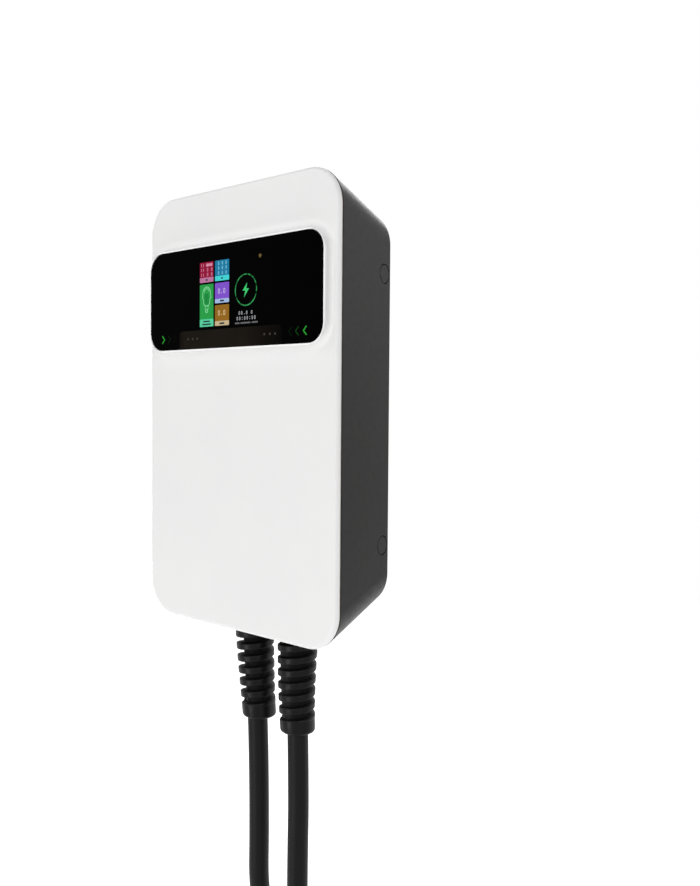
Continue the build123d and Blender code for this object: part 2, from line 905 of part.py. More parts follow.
def terminal_core_places(side):
    # where the cores go into a terminal block, from left to right
    middle = side * terminal_x
    return [middle + (index - (core_count - 1) / 2) * terminal_pitch for index in range(core_count)]


def terminal_block(side):
    # a row of clamps with a chamfered front, wire mouths below and screws in front
    low = board_low_z + fit_gap
    high = low + terminal_height
    front = board_front_y - terminal_depth
    middle = side * terminal_x
    profile = Polyline(
        (board_front_y, low),
        (front + terminal_chamfer, low),
        (front, low + terminal_chamfer),
        (front, high - terminal_chamfer),
        (front + terminal_chamfer, high),
        (board_front_y, high),
        close=True,
    )
    start = Plane(origin=(middle - terminal_width / 2, 0, 0), x_dir=(0, 1, 0), z_dir=(1, 0, 0))
    body = extrude(start * make_face(profile), amount=terminal_width)
    entry_y = board_front_y - terminal_entry
    for x in terminal_core_places(side):
        body -= rod_z(terminal_hole, low - overrun, low + terminal_hole_depth, x, entry_y)
        shaft = (entry_y - terminal_hole, front - overrun)
        body -= rod_y(terminal_screw_radius + fit_gap, *shaft, x, (low + high) / 2)
    return body


def terminal_screws(side):
    low = board_low_z + fit_gap
    middle_z = low + terminal_height / 2
    front = board_front_y - terminal_depth
    seat_y = board_front_y - terminal_entry - terminal_hole
    screws = []
    for x in terminal_core_places(side):
        screw = rod_y(terminal_screw_radius, seat_y, front + terminal_screw_drop, x, middle_z)
        slot_top = front + terminal_screw_drop + fit_gap * 4
        slot = (middle_z - fit_gap * 2, middle_z + fit_gap * 2)
        screw -= block((x - core_circle, x + core_circle), (slot_top, front), slot)
        screws.append(screw)
    return screws


def display_ribbon():
    # the flat cable from the main board to the display board
    low = ribbon_low_z
    high = housing_rise + ribbon_high
    back = ledge_back_y + display_board_thickness
    middle = (board_front_y + back) / 2
    x = ribbon_x
    points = [
        (x, board_front_y - ribbon_socket, low),
        (x, middle, low),
        (x, middle, high),
        (x, back + ribbon_socket, high),
    ]
    path = FilletPolyline(*points, radius=ribbon_bend)
    start = Plane(origin=points[0], x_dir=(1, 0, 0), z_dir=(0, -1, 0))
    strip = sweep(start * Rectangle(ribbon_width, ribbon_thickness), path=path)
    lower = slab(board_front_y, board_front_y - ribbon_socket, ribbon_width, ribbon_socket, fit_gap, x, low)
    upper = slab(back + ribbon_socket, back, ribbon_width, ribbon_socket, fit_gap, x, high)
    return strip + lower + upper


def gland_washer(side):
    x = side * gland_x
    ring = rod_z(washer_radius, washer_low_z, pocket_top_z, x, gland_y)
    hole = (washer_low_z - overrun, pocket_top_z + overrun)
    return ring - rod_z(thread_radius + thread_gap, *hole, x, gland_y)


def gland_body(side):
    # hexagon with a thread above it and a spigot below it, bored for the seal
    x = side * gland_x
    hexagon = hexagon_z(hex_across, hex_low_z, washer_low_z, x, gland_y)
    for face in (hexagon.faces().sort_by(Axis.Z)[0], hexagon.faces().sort_by(Axis.Z)[-1]):
        hexagon = chamfer(face.edges(), hex_chamfer)
    body = hexagon + rod_z(thread_radius, washer_low_z, thread_top_z, x, gland_y)
    spigot_low = hex_low_z - spigot_height
    body += rod_z(spigot_radius, spigot_low, hex_low_z, x, gland_y)
    return body - rod_z(gland_bore, spigot_low - overrun, thread_top_z + overrun, x, gland_y)


def gland_nut(side):
    x = side * gland_x
    low = pocket_top_z + housing_wall
    nut = hexagon_z(nut_across, low, low + nut_height, x, gland_y)
    hole = (low - overrun, low + nut_height + overrun)
    return nut - rod_z(thread_radius + fit_gap / 2, *hole, x, gland_y)


def gland_seal(side):
    x = side * gland_x
    low = hex_low_z - spigot_height
    sleeve = rod_z(gland_bore - fit_gap / 2, low, low + seal_length, x, gland_y)
    hole = (low - overrun, low + seal_length + overrun)
    return sleeve - rod_z(cable_radius + fit_gap / 2, *hole, x, gland_y)


def bend_relief(side):
    # the gland's cap with its long tail, cut by one screw-shaped slot
    x = side * gland_x
    place = Pos(x, gland_y, hex_low_z)
    half_profile = [
        (0.0, 0.0),
        (cap_radius, 0.0),
        (cap_radius, -cap_height),
        (relief_top_radius, -cap_height),
        (relief_low_radius, collar_height - relief_length),
        (collar_radius, collar_height - relief_length),
        (collar_radius, -relief_length),
        (0.0, -relief_length),
    ]
    outline = Plane.XZ * make_face(Polyline(*half_profile, close=True))
    body = revolve(outline, axis=Axis.Z)
    body = fillet(body.faces().sort_by(Axis.Z)[-1].edges(), cap_round)
    body = fillet(body.faces().sort_by(Axis.Z)[0].edges(), collar_round)
    slot_top = -cap_height - helix_lead
    slot_low = collar_height - relief_length + helix_lead
    reach = relief_top_radius + overrun
    path = Helix(helix_pitch, slot_top - slot_low, helix_core_radius, center=(0, 0, slot_low))
    slot_depth = reach - helix_core_radius
    start = Plane(path @ 0, x_dir=(1, 0, 0), z_dir=path % 0)
    slot = start * Pos(slot_depth / 2, 0) * Rectangle(slot_depth, helix_slot)
    body -= sweep(slot, path=path, is_frenet=True)
    bore = cable_radius + relief_bore_gap
    body -= rod_z(bore, -relief_length - overrun, overrun, 0.0, 0.0)
    body -= rod_z(spigot_radius + fit_gap, -spigot_height - fit_gap, overrun, 0.0, 0.0)
    turn = output_slot_turn if side > 0 else supply_slot_turn
    return place * Rot(0, 0, turn) * body


def cable_entry(side):
    # the jacket inside the gland, up to where it is stripped
    return rod_z(cable_radius, relief_low_z, thread_top_z + jacket_top, side * gland_x, gland_y)


def core_starts(x):
    angles = [math.tau * index / core_count + math.pi / 2 for index in range(core_count)]
    places = [(x + core_circle * math.cos(a), gland_y + core_circle * math.sin(a)) for a in angles]
    return sorted(places)


def inner_cores(side):
    # five cores that fan out from the jacket to their clamps
    start_z = thread_top_z + jacket_top
    end_z = board_low_z + fit_gap + terminal_hole_depth
    entry_y = board_front_y - terminal_entry
    cores = []
    for (x, y), end_x in zip(core_starts(side * gland_x), terminal_core_places(side)):
        points = [
            (x, y, start_z),
            (x, y, start_z + core_rise),
            (end_x, entry_y, board_low_z - core_straight),
            (end_x, entry_y, end_z),
        ]
        path = FilletPolyline(*points, radius=core_bend)
        start = Plane(origin=points[0], z_dir=(0, 0, 1))
        cores.append(sweep(start * Circle(core_radius), path=path))
    return cores


def route_radii(points):
    # the largest arc that each corner's two runs allow
    radii = []
    for before, here, after in zip(points, points[1:], points[2:]):
        one = Vector(*here) - Vector(*before)
        two = Vector(*after) - Vector(*here)
        turn = math.radians(one.get_angle(two))
        radii.append(bend_share * min(one.length, two.length) / math.tan(turn / 2))
    return radii


def cable_tube(name, points):
    radii = route_radii(points)
    path = FilletPolyline(*points, radius=radii)
    way = Vector(*points[1]) - Vector(*points[0])
    tube = sweep(Plane(origin=points[0], z_dir=way) * Circle(cable_radius), path=path)
    expected = math.pi * cable_radius**2 * path.length
    print(name, "length", round(path.length, 1), "radii", [round(r) for r in radii])
    print(name, "volume over section times length", round(tube.volume / expected, 5))
    return tube, path.length


def supply_cable():
    return cable_tube("supply_cable", supply_route)


def end_frame():
    # the plane at the supply cable's cut end, looking along the cable
    last, before = Vector(*supply_route[-1]), Vector(*supply_route[-2])
    return Plane(origin=last, x_dir=(1, 0, 0), z_dir=last - before)


def end_core_point(angle, down):
    # where the middle of one stripped core is, some way down from the cut end
    radius = core_circle + (end_core_spread - core_circle) * down / end_core_length
    return (radius * math.cos(angle), radius * math.sin(angle), down)


def supply_cores():
    # stripped cores that part a little below the jacket
    frame = end_frame()
    cores = []
    for index in range(core_count):
        angle = math.tau * index / core_count
        tip = end_core_point(angle, end_core_length)
        line = frame.from_local_coords(Polyline(end_core_point(angle, fit_gap / 2), tip))
        cores.append(sweep(Plane(origin=line @ 0, z_dir=line % 0) * Circle(core_radius), path=line))
    return cores


def supply_ferrules():
    frame = end_frame()
    ends = []
    for index in range(core_count):
        angle = math.tau * index / core_count
        far = end_core_point(angle, end_core_length + ferrule_length)
        line = frame.from_local_coords(Polyline(end_core_point(angle, end_core_length), far))
        ends.append(sweep(Plane(origin=line @ 0, z_dir=line % 0) * Circle(ferrule_radius), path=line))
    return ends


def coil_centre():
    # the coil hangs so that the cable comes straight down into its outer turn
    angle = math.radians(lead_angle)
    x, _, z = output_route[-1]
    x += lead_radius * (1 - math.cos(angle)) - coil_outer_turn * math.cos(angle)
    z -= (coil_outer_turn + lead_radius) * math.sin(angle)
    return x, z


def output_cable():
    return cable_tube("output_cable", output_route)


def coil_section(grow):
    # the rounded outer shape of the bundle of turns, across the coil
    x, z = coil_centre()
    deep = 4 * cable_radius + 2 * (coil_slack + grow)
    wide = coil_outer_turn - coil_inner_turn + 2 * (cable_radius + coil_slack + grow)
    middle_y = output_route[-1][1] - cable_radius
    plane = Plane(origin=(x, middle_y, z), x_dir=(1, 0, 0), z_dir=(0, 0, 1))
    middle_r = (coil_outer_turn + coil_inner_turn) / 2
    return plane * Pos(middle_r, 0) * RectangleRounded(wide, deep, coil_section_round + grow)


def coil_axis():
    x, z = coil_centre()
    return Axis((x, 0, z), (0, -1, 0))


def output_coil():
    # the tied ring of turns, with the leads into and out of it
    x, z = coil_centre()
    ring = revolve(coil_section(0.0), axis=coil_axis(), revolution_arc=360)
    start = Vector(*output_route[-1])
    angle = math.radians(lead_angle)
    bend_x = start.X + lead_radius

    def on_lead(turn):
        return (bend_x - lead_radius * math.cos(turn), start.Y, start.Z - lead_radius * math.sin(turn))

    def on_coil(turn):
        return (x + coil_outer_turn * math.cos(turn), start.Y, z + coil_outer_turn * math.sin(turn))

    buried = angle - lead_buried / coil_outer_turn
    path = ThreePointArc(on_lead(0.0), on_lead(angle / 2), on_lead(angle))
    path += ThreePointArc(on_coil(angle), on_coil((angle + buried) / 2), on_coil(buried))
    lead = sweep(Plane(origin=start, z_dir=(0, 0, -1)) * Circle(cable_radius), path=path)
    end_x, end_y, end_z = plug_start()
    return ring + lead + rod_z(cable_radius, end_z, z, end_x, end_y)


def coil_ties():
    # straps round the bundle of turns
    ties = []
    for angle in tie_angles:
        band = coil_section(fit_gap + tie_thickness) - coil_section(fit_gap)
        tie = revolve(band, axis=coil_axis(), revolution_arc=tie_sweep)
        x, z = coil_centre()
        turn = Pos(x, 0, z) * Rot(0, -angle, 0) * Pos(-x, 0, -z)
        ties.append(turn * tie)
    return ties


def plug_start():
    x, z = coil_centre()
    return x + coil_outer_turn, output_route[-1][1] - 2 * cable_radius, z - tail_drop


def plug_relief():
    # ringed sleeve where the cable goes into the plug
    x, y, z = plug_start()
    plane = Plane(origin=(x, y, z), x_dir=(1, 0, 0), z_dir=(0, -1, 0))
    top_radius = cable_radius + head_wall
    low = -plug_relief_length
    corners = [(0.0, 0.0), (top_radius, 0.0), (plug_relief_low, low), (0.0, low)]
    body = revolve(plane * make_face(Polyline(*corners, close=True)), axis=Axis((x, y, z), (0, 0, 1)))
    step = plug_relief_length / (plug_relief_rings + 1)
    for index in range(plug_relief_rings):
        middle = z - step * (index + 1)
        share = (z - middle) / plug_relief_length
        radius = top_radius + (plug_relief_low - top_radius) * share
        low, high = around(middle, plug_ring_width)
        ring = rod_z(radius + overrun, low, high, x, y)
        body -= ring - rod_z(radius - plug_ring_depth, low - overrun, high + overrun, x, y)
    return body


def grip_plane(index):
    # one station of the grip, which swings forward towards its head
    x, y, z = plug_start()
    y -= grip_forward * grip_forward_shares[index]
    z -= plug_relief_length + grip_length * grip_down_shares[index]
    angle = math.radians(grip_tilts[index])
    return Plane(origin=(x, y, z), x_dir=(1, 0, 0), z_dir=(0, -math.sin(angle), -math.cos(angle)))


def flat_sided(plane, radius, flat):
    # a round outline with one flat, like a letter D
    outline = Circle(radius) - Pos(0, flat + radius) * Rectangle(2 * radius + overrun, 2 * radius)
    return plane * outline


def plug_grip():
    stations = []
    for index, share in enumerate(grip_radius_shares):
        radius = grip_top + (grip_low - grip_top) * share
        stations.append(grip_plane(index) * Circle(radius))
    body = loft(stations)
    last = grip_plane(-1)
    head = extrude(flat_sided(last, head_radius, head_flat), amount=head_length)
    mouth = last.offset(head_length - head_recess)
    hollow = flat_sided(mouth, head_radius - head_wall, head_flat - head_wall)
    return body + head - extrude(hollow, amount=head_recess + overrun)


def contact_outlines(gap):
    # two signal contacts above five larger ones, each drawn with a gap round it
    small = Circle(contact_small + gap)
    large = Circle(contact_radius + gap)
    outlines = [Pos(sign * signal_pitch / 2, signal_rise) * small for sign in (-1, 1)]
    outlines += [Pos(step * contact_pitch, 0) * large for step in (-1, 0, 1)]
    outlines += [Pos(sign * contact_low_pitch / 2, -contact_low_drop) * large for sign in (-1, 1)]
    return outlines


def plug_face():
    # the insulating core with its seven contact holes
    last = grip_plane(-1).offset(head_length - head_recess)
    radius = head_radius - head_wall - fit_gap
    body = extrude(flat_sided(last, radius, head_flat - head_wall - fit_gap), amount=face_length)
    for outline in contact_outlines(contact_wall):
        body -= extrude(last.offset(overrun) * outline, amount=face_length)
    return body


def plug_contacts():
    last = grip_plane(-1).offset(head_length - head_recess + overrun)
    made = []
    for outer, inner in zip(contact_outlines(contact_wall), contact_outlines(0.0)):
        made.append(extrude(last * (outer - inner), amount=face_length - 2 * overrun))
    return made


def write(name, made):
    shape = Compound(children=made) if isinstance(made, list) else made
    export_step(shape, "parts/" + name + ".step")


single_nodes = {
    "front_cover": front_cover,
    "front_seal": front_seal,
    "display_window": display_window,
    "lcd_module": lcd_module,
    "display_board": display_board,
    "indicator_leds": indicator_leds,
    "light_shrouds": light_shrouds,
    "light_sensor": light_sensor,
    "display_screws": display_screws,
    "rear_housing": rear_housing,
    "cover_screws": cover_screws,
    "wall_plate": wall_plate,
    "side_screws": side_screws,
    "side_plugs": side_plugs,
    "main_board": main_board,
    "board_screws": board_screws,
    "power_relays": power_relays,
    "fault_sensor": fault_sensor,
    "current_bars": current_bars,
    "power_module": power_module,
    "capacitors": capacitors,
    "fuses": fuses,
    "processor_card": processor_card,
    "radio_module": radio_module,
    "buzzer": buzzer,
    "display_ribbon": display_ribbon,
    "supply_cores": supply_cores,
    "supply_ferrules": supply_ferrules,
    "output_coil": output_coil,
    "coil_ties": coil_ties,
    "plug_relief": plug_relief,
    "plug_grip": plug_grip,
    "plug_face": plug_face,
    "plug_contacts": plug_contacts,
}

paired_nodes = {
    "gland_washer": gland_washer,
    "gland_body": gland_body,
    "gland_nut": gland_nut,
    "gland_seal": gland_seal,
    "bend_relief": bend_relief,
    "cable_entry": cable_entry,
    "inner_cores": inner_cores,
    "terminal_block": terminal_block,
    "terminal_screws": terminal_screws,
}

for node, make in single_nodes.items():
    write(node, make())

for side, line in ((-1, "supply"), (1, "output")):
    for node, make in paired_nodes.items():
        write(line + "_" + node, make(side))

supply_tube, supply_length = supply_cable()
output_tube, output_length = output_cable()
write("supply_cable", supply_tube)
write("output_cable", output_tube)

mean_turn = (coil_outer_turn + coil_inner_turn) / 2
wound = math.tau * mean_turn * coil_turns
wound += math.radians(lead_angle) * (coil_outer_turn + lead_radius) + tail_drop
print("supply cable from the gland", round(supply_length + end_core_length + ferrule_length, 1))
print("output cable from the gland", round(output_length + wound, 1))
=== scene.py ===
import math

import bmesh
import bpy
from mathutils import Matrix, Vector


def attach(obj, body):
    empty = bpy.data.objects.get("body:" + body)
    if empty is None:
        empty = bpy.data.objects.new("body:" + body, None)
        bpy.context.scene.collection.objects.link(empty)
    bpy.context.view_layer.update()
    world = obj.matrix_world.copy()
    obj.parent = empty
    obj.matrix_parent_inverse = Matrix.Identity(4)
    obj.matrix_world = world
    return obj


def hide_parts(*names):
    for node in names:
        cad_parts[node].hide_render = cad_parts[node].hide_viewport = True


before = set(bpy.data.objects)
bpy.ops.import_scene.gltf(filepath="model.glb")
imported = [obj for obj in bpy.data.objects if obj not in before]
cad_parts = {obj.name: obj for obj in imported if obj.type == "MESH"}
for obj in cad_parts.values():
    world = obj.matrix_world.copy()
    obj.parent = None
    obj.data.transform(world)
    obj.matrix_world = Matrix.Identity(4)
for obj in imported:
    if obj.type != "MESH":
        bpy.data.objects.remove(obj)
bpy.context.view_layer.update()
mm = 0.001

# everything below is in millimetres, as in the part's source, unless it says otherwise
box = {"width": 215.0, "height": 350.0, "rise": 34.9}
window = {
    "width": 197.7, "height": 80.6, "corner": 16.0, "z": 123.4, "front": -82.3, "back": -79.8,
    "edge": 0.22, "edgeRing": 0.3, "sunk": 0.05,
}
cable = {"radius": 8.5, "supplyLength": 544.0, "outputLength": 4990.0}
routes = {
    "supply": [
        (-23.3, -27.4, -226.1), (-22.5, -26.7, -256.0), (-21.8, -26.4, -325.0), (-22.2, -26.8, -374.0),
        (-24.2, -11.3, -430.0), (-26.3, -10.6, -484.0), (-26.9, -10.6, -560.0), (-26.2, -10.9, -660.0),
        (-24.6, -11.3, -770.0),
    ],
    "output": [(25.3, -28.8, -226.1), (26.8, -28.8, -278.0), (26.3, -29.3, -328.0), (26.3, -29.3, -377.0)],
}

# the photograph's camera: angles in degrees, focus and middle in pixels of the picture, nearest in metres
view = {
    "place": (534.6, -559.4, 40.6), "yaw": 43.09, "pitch": 1.99, "roll": -0.34,
    "focus": 917, "picture": (700, 886), "middle": (311.2, 434.3), "sensor": 36, "nearest": 0.02,
}


def placeCamera():
    yaw, pitch, roll = (math.radians(view[angle]) for angle in ("yaw", "pitch", "roll"))
    ahead = Vector((-math.sin(yaw) * math.cos(pitch), math.cos(yaw) * math.cos(pitch), -math.sin(pitch)))
    right = Vector((math.cos(yaw), math.sin(yaw), 0))
    down = ahead.cross(right)
    across = right * math.cos(roll) + down * math.sin(roll)
    below = down * math.cos(roll) - right * math.sin(roll)
    wide, tall = view["picture"]
    middleX, middleY = view["middle"]
    camera = bpy.data.cameras.new("camera")
    camera.sensor_fit = "AUTO"
    camera.sensor_width = view["sensor"]
    camera.lens = view["focus"] / tall * view["sensor"]
    camera.shift_x = (wide / 2 - middleX) / tall
    camera.shift_y = -(tall / 2 - middleY) / tall
    camera.clip_start = view["nearest"]
    holder = bpy.data.objects.new("camera", camera)
    bpy.context.collection.objects.link(holder)
    turn = Matrix((across, -below, -ahead)).transposed().to_4x4()
    holder.matrix_world = Matrix.Translation(Vector(view["place"]) * mm) @ turn
    bpy.context.scene.camera = holder


print("camera")
placeCamera()


# shader boards: sums on sockets are written as sums
class Wire:
    def __init__(self, board, socket):
        self.board = board
        self.socket = socket

    def __add__(self, other):
        return self.board.maths("ADD", self, other)

    def __sub__(self, other):
        return self.board.maths("SUBTRACT", self, other)

    def __rsub__(self, other):
        return self.board.maths("SUBTRACT", other, self)

    def __mul__(self, other):
        return self.board.maths("MULTIPLY", self, other)

    def __truediv__(self, other):
        return self.board.maths("DIVIDE", self, other)

    __radd__ = __add__
    __rmul__ = __mul__


class Board:
    def __init__(self, name):
        self.material = bpy.data.materials.new(name)
        self.material.use_nodes = True
        self.tree = self.material.node_tree
        self.tree.nodes.clear()
        self.place = None

    def node(self, kind, inputs=(), out=0, **settings):
        made = self.tree.nodes.new("ShaderNode" + kind)
        for key, value in settings.items():
            setattr(made, key, value)
        for key, value in dict(inputs).items():
            if isinstance(value, Wire):
                self.tree.links.new(value.socket, made.inputs[key])
            else:
                made.inputs[key].default_value = value
        return Wire(self, made.outputs[out]) if len(made.outputs) else None

    def maths(self, operation, *values):
        return self.node("Math", dict(enumerate(values)), operation=operation)

    def coords(self):
        # the place on the piece, in millimetres
        if self.place is None:
            here = self.node("TexCoord", out="Object")
            self.place = self.node("VectorMath", {0: here, "Scale": 1000.0}, operation="SCALE")
        return self.place

    def axes(self):
        parts = self.node("SeparateXYZ", {0: self.coords()})
        outputs = parts.socket.node.outputs
        return [Wire(self, outputs[i]) for i in range(3)]

    def noise(self, scale, detail=2.0, rough=0.5, stretch=None):
        here = self.coords()
        if stretch:
            here = self.node("VectorMath", {0: here, 1: stretch}, operation="MULTIPLY")
        return self.node("TexNoise", {"Vector": here, "Scale": scale, "Detail": detail, "Roughness": rough})

    def cells(self, scale):
        return self.node("TexVoronoi", {"Vector": self.coords(), "Scale": scale}, out="Distance")

    def remap(self, value, low, high, start, end):
        keys = {"Value": value, "From Min": low, "From Max": high, "To Min": start, "To Max": end}
        return self.node("MapRange", keys)

    def mix(self, share, one, two):
        # a colour between two others
        made = self.tree.nodes.new("ShaderNodeMix")
        made.data_type = "RGBA"
        for key, value in ((0, share), (6, one), (7, two)):
            if isinstance(value, Wire):
                self.tree.links.new(value.socket, made.inputs[key])
            else:
                made.inputs[key].default_value = value
        return Wire(self, made.outputs[2])

    def finish(self, base, rough, height=None, depth=0.1, rounding=0.0, **more):
        # the surface shader, with a bump whose depth is in millimetres
        keys = {"Base Color": base, "Roughness": rough}
        for key, value in more.items():
            keys[key.replace("_", " ")] = value
        normal = None
        if rounding:
            normal = self.node("Bevel", {"Radius": rounding * mm}, samples=4)
        if height is not None:
            bump = {"Height": height, "Distance": depth * mm, "Strength": 1.0}
            if normal:
                bump["Normal"] = normal
            normal = self.node("Bump", bump)
        if normal:
            keys["Normal"] = normal
        shader = self.node("BsdfPrincipled", keys)
        self.node("OutputMaterial", {"Surface": shader})
        return self.material


# how much the finishes reflect: the window and its print least
sheens = {"window": 0.006, "coat": 0.1, "jacket": 0.11, "housing": 0.115, "nylon": 0.12, "shell": 0.12}


def grey(value):
    return (value, value, value, 1.0)


def darker(colour, share):
    return tuple(v * share for v in colour[:3]) + (1.0,)


def tint(r, g, b):
    # a colour as it looks on a screen, from 0 to 255
    def line(v):
        v = v / 255
        return v / 12.92 if v <= 0.04045 else ((v + 0.055) / 1.055) ** 2.4
    return (line(r), line(g), line(b), 1.0)


def whiteShell():
    # white moulding, with a painted highlight that makes the rim of the raised block whitest
    b = Board("white_shell")
    rimHighlightFrom, rimHighlightTo = -80.2, -81.8
    cloud = b.noise(0.02, 2.0)
    # painted highlight: towards the front of the raised block's rim the colour turns near white
    rim = b.remap(b.axes()[1], rimHighlightFrom, rimHighlightTo, 0.0, 1.0)
    base = b.mix(rim, b.mix(cloud, tint(234, 234, 234), tint(239, 239, 238)), tint(254, 254, 254))
    grain = b.noise(1.6, 3.0, 0.6)
    rough = b.remap(b.noise(0.35, 2.0), 0.3, 0.7, 0.34, 0.42)
    return b.finish(base, rough, grain, 0.012, Specular_IOR_Level=sheens["shell"])


def moulded(name, dark, light, rough, grain=1.3, depth=0.05, rounding=0.35, **more):
    # fine-grained moulded plastic with faint marks of handling
    b = Board(name)
    cloud = b.noise(0.03, 3.0)
    pores = b.noise(grain, 4.0, 0.65)
    base = b.mix(cloud, dark, light)
    scuff = b.remap(b.noise(0.22, 4.0, 0.6), 0.35, 0.7, rough - 0.04, rough + 0.05)
    return b.finish(base, scuff, pores, depth, rounding, **more)


def slottedNylon():
    # glassy nylon, rougher deep in the slot, where painted shade also darkens its colour
    b = Board("nylon")
    base = b.mix(b.noise(0.03, 3.0), tint(5, 5, 5), tint(9, 9, 9))
    scuff = b.remap(b.noise(0.22, 4.0, 0.6), 0.35, 0.7, 0.32, 0.41)
    reach, dullest = 7 * mm, 0.95
    # painted shade: where ambient occlusion finds the slot's walls close, the colour darkens towards near black
    free = b.remap(b.node("AmbientOcclusion", {"Distance": reach}, out="AO", samples=4), 0.35, 0.8, 0.0, 1.0)
    deep = b.mix(free, tint(3, 3, 3), base)
    rough = scuff * free + (1.0 - free) * dullest
    return b.finish(deep, rough, b.noise(1.6, 4.0, 0.65), 0.03, 0.35, Specular_IOR_Level=sheens["nylon"])


def powderCoat(name, dark, light, rough=0.5):
    # textured powder coat: small round lumps with tiny glints
    b = Board(name)
    lumps = b.cells(0.6)
    fine = b.noise(1.3, 3.0, 0.6)
    height = lumps * 0.7 + fine * 0.5
    speck = b.remap(b.noise(0.9, 2.0, 0.7), 0.45, 0.7, 0.0, 1.0)
    base = b.mix(speck, dark, light)
    spread = b.remap(lumps, 0.0, 0.8, rough - 0.08, rough + 0.1)
    return b.finish(base, spread, height, 0.22, 0.4, Specular_IOR_Level=sheens["coat"])


def metal(name, colour, rough, stretch=(1.0, 1.0, 14.0), rounding=0.25):
    # drawn metal with fine lines across one axis
    b = Board(name)
    lines = b.noise(1.4, 4.0, 0.6, stretch)
    base = b.mix(lines, darker(colour, 0.82), colour)
    height = b.noise(3.0, 2.0, 0.5, stretch)
    spread = b.remap(lines, 0.3, 0.7, rough - 0.07, rough + 0.08)
    return b.finish(base, spread, height, 0.015, rounding, Metallic=1.0)


def rubberJacket():
    # the cable's matt jacket with its faint drawn lines
    b = Board("cable_jacket")
    drawn = b.noise(0.9, 3.0, 0.6, (1.0, 1.0, 0.03))
    dust = b.noise(0.08, 4.0, 0.6)
    base = b.mix(dust, tint(7, 7, 8), tint(11, 11, 12))
    height = drawn * 0.7 + b.noise(2.5, 2.0) * 0.3
    rough = b.remap(drawn, 0.3, 0.7, 0.42, 0.52)
    return b.finish(base, rough, height, 0.05, Specular_IOR_Level=sheens["jacket"])


def foam():
    # closed-cell foam of the seals
    b = Board("seal_rubber")
    cells = b.cells(1.1)
    base = b.mix(b.noise(0.4, 3.0), tint(128, 108, 90), tint(152, 132, 112))
    return b.finish(base, 0.85, cells, 0.15)


def circuit(name, base, trace):
    # solder resist over thin tracks, with rows of tiny pads
    b = Board(name)
    x, _, z = b.axes()
    columns, rows, trackWidth, padWidth = 1.3, 1.7, 0.3, 0.16
    wobble = b.noise(0.08, 1.0) * 9.0
    line = b.maths("PINGPONG", x + wobble, columns)
    other = b.maths("PINGPONG", z + wobble, rows)
    track = b.maths("LESS_THAN", b.maths("MINIMUM", line, other), trackWidth)
    pads = b.maths("LESS_THAN", b.cells(0.35), padWidth)
    colour = b.mix(b.maths("MAXIMUM", track, pads), base, trace)
    return b.finish(colour, 0.38, track, 0.05)


def ribbonCable():
    # flat cable, one ridge for each of its wires, with painted shade darkening the grooves between them
    b = Board("ribbon")
    wire = 0.5
    ridge = b.maths("PINGPONG", b.axes()[0], wire)
    # painted shade: the colour follows the ridge profile, darker in the grooves and lighter on the crests
    base = b.mix(ridge, tint(120, 121, 124), tint(168, 168, 170))
    return b.finish(base, 0.5, ridge, 0.25)


def coreColours():
    # the five stripped cores, told apart by their place round the cable's end
    b = Board("core_colours")
    x, y, z = b.axes()
    endX, endY, endZ = routes["supply"][-1]
    leanX, leanY, stripe = 0.0145, 0.0036, 1.7
    down = endZ - z
    across, deep = x - endX - down * leanX, y - endY + down * leanY
    lap = b.maths("ARCTAN2", 0.0 - deep, across) / (math.tau / 5)
    earth = b.mix(b.maths("GREATER_THAN", across, stripe), tint(44, 122, 58), tint(214, 190, 56))
    base = b.mix(b.maths("GREATER_THAN", lap, -1.5), tint(112, 112, 114), earth)
    for limit, shade in ((-0.5, tint(40, 74, 158)), (0.5, tint(96, 58, 34)), (1.5, tint(24, 24, 25))):
        base = b.mix(b.maths("GREATER_THAN", lap, limit), base, shade)
    rough = b.remap(b.noise(0.3, 3.0), 0.3, 0.7, 0.38, 0.5)
    return b.finish(base, rough, b.noise(1.2, 3.0, 0.6), 0.02)


def wovenBand():
    # hook and loop band: a small plain weave
    b = Board("tie_band")
    x, y, z = b.axes()
    thread = 4.2
    warp = b.maths("SINE", (x + z) * thread)
    weft = b.maths("SINE", (y + z * 0.4) * thread)
    weave = warp * weft
    base = b.mix(b.remap(weave, -1.0, 1.0, 0.0, 1.0), tint(22, 22, 23), tint(48, 48, 50))
    return b.finish(base, 0.8, weave, 0.22)


def lamp(name, colour, strength):
    # a lit indicator, a little uneven
    b = Board(name)
    spot = b.remap(b.noise(0.6, 2.0), 0.3, 0.7, 0.75, 1.0)
    glow = b.mix(spot, darker(colour, 0.6), colour)
    return b.finish(glow, 0.3, b.noise(1.5), 0.01, Emission_Color=glow, Emission_Strength=strength)


def windowBlack():
    # deep gloss black with a hardly visible haze
    b = Board("black_window")
    haze = b.noise(0.06, 3.0)
    base = b.mix(haze, grey(0.0004), grey(0.0008))
    return b.finish(base, 0.06, b.noise(0.05, 1.0), 0.004, Specular_IOR_Level=sheens["window"])


def glowing(b, glow):
    # black glass with the given light behind it
    keys = {"Specular_IOR_Level": sheens["window"], "Emission_Color": glow, "Emission_Strength": 1.0}
    return b.finish(grey(0.0), 0.12, **keys)


def printed(name, colour, other=None, scale=0.5):
    # a lit field of the display, with a faint pixel unevenness
    b = Board(name)
    uneven = b.remap(b.noise(scale, 2.0), 0.3, 0.7, 0.0, 1.0)
    return glowing(b, b.mix(uneven, other or darker(colour, 0.9), colour))


def smokeLight():
    # the pale haze of the lower band, which fades out to its ends
    b = Board("smoke")
    x = b.axes()[0]
    ends = b.remap(x, 12.0, 57.0, 1.0, 0.12) * b.remap(x, -60.5, -54.0, 0.3, 1.0)
    cloud = b.remap(b.noise(0.04, 2.0), 0.3, 0.7, 0.75, 1.0)
    return glowing(b, b.mix(ends * cloud, tint(5, 4, 4), tint(30, 26, 21)))


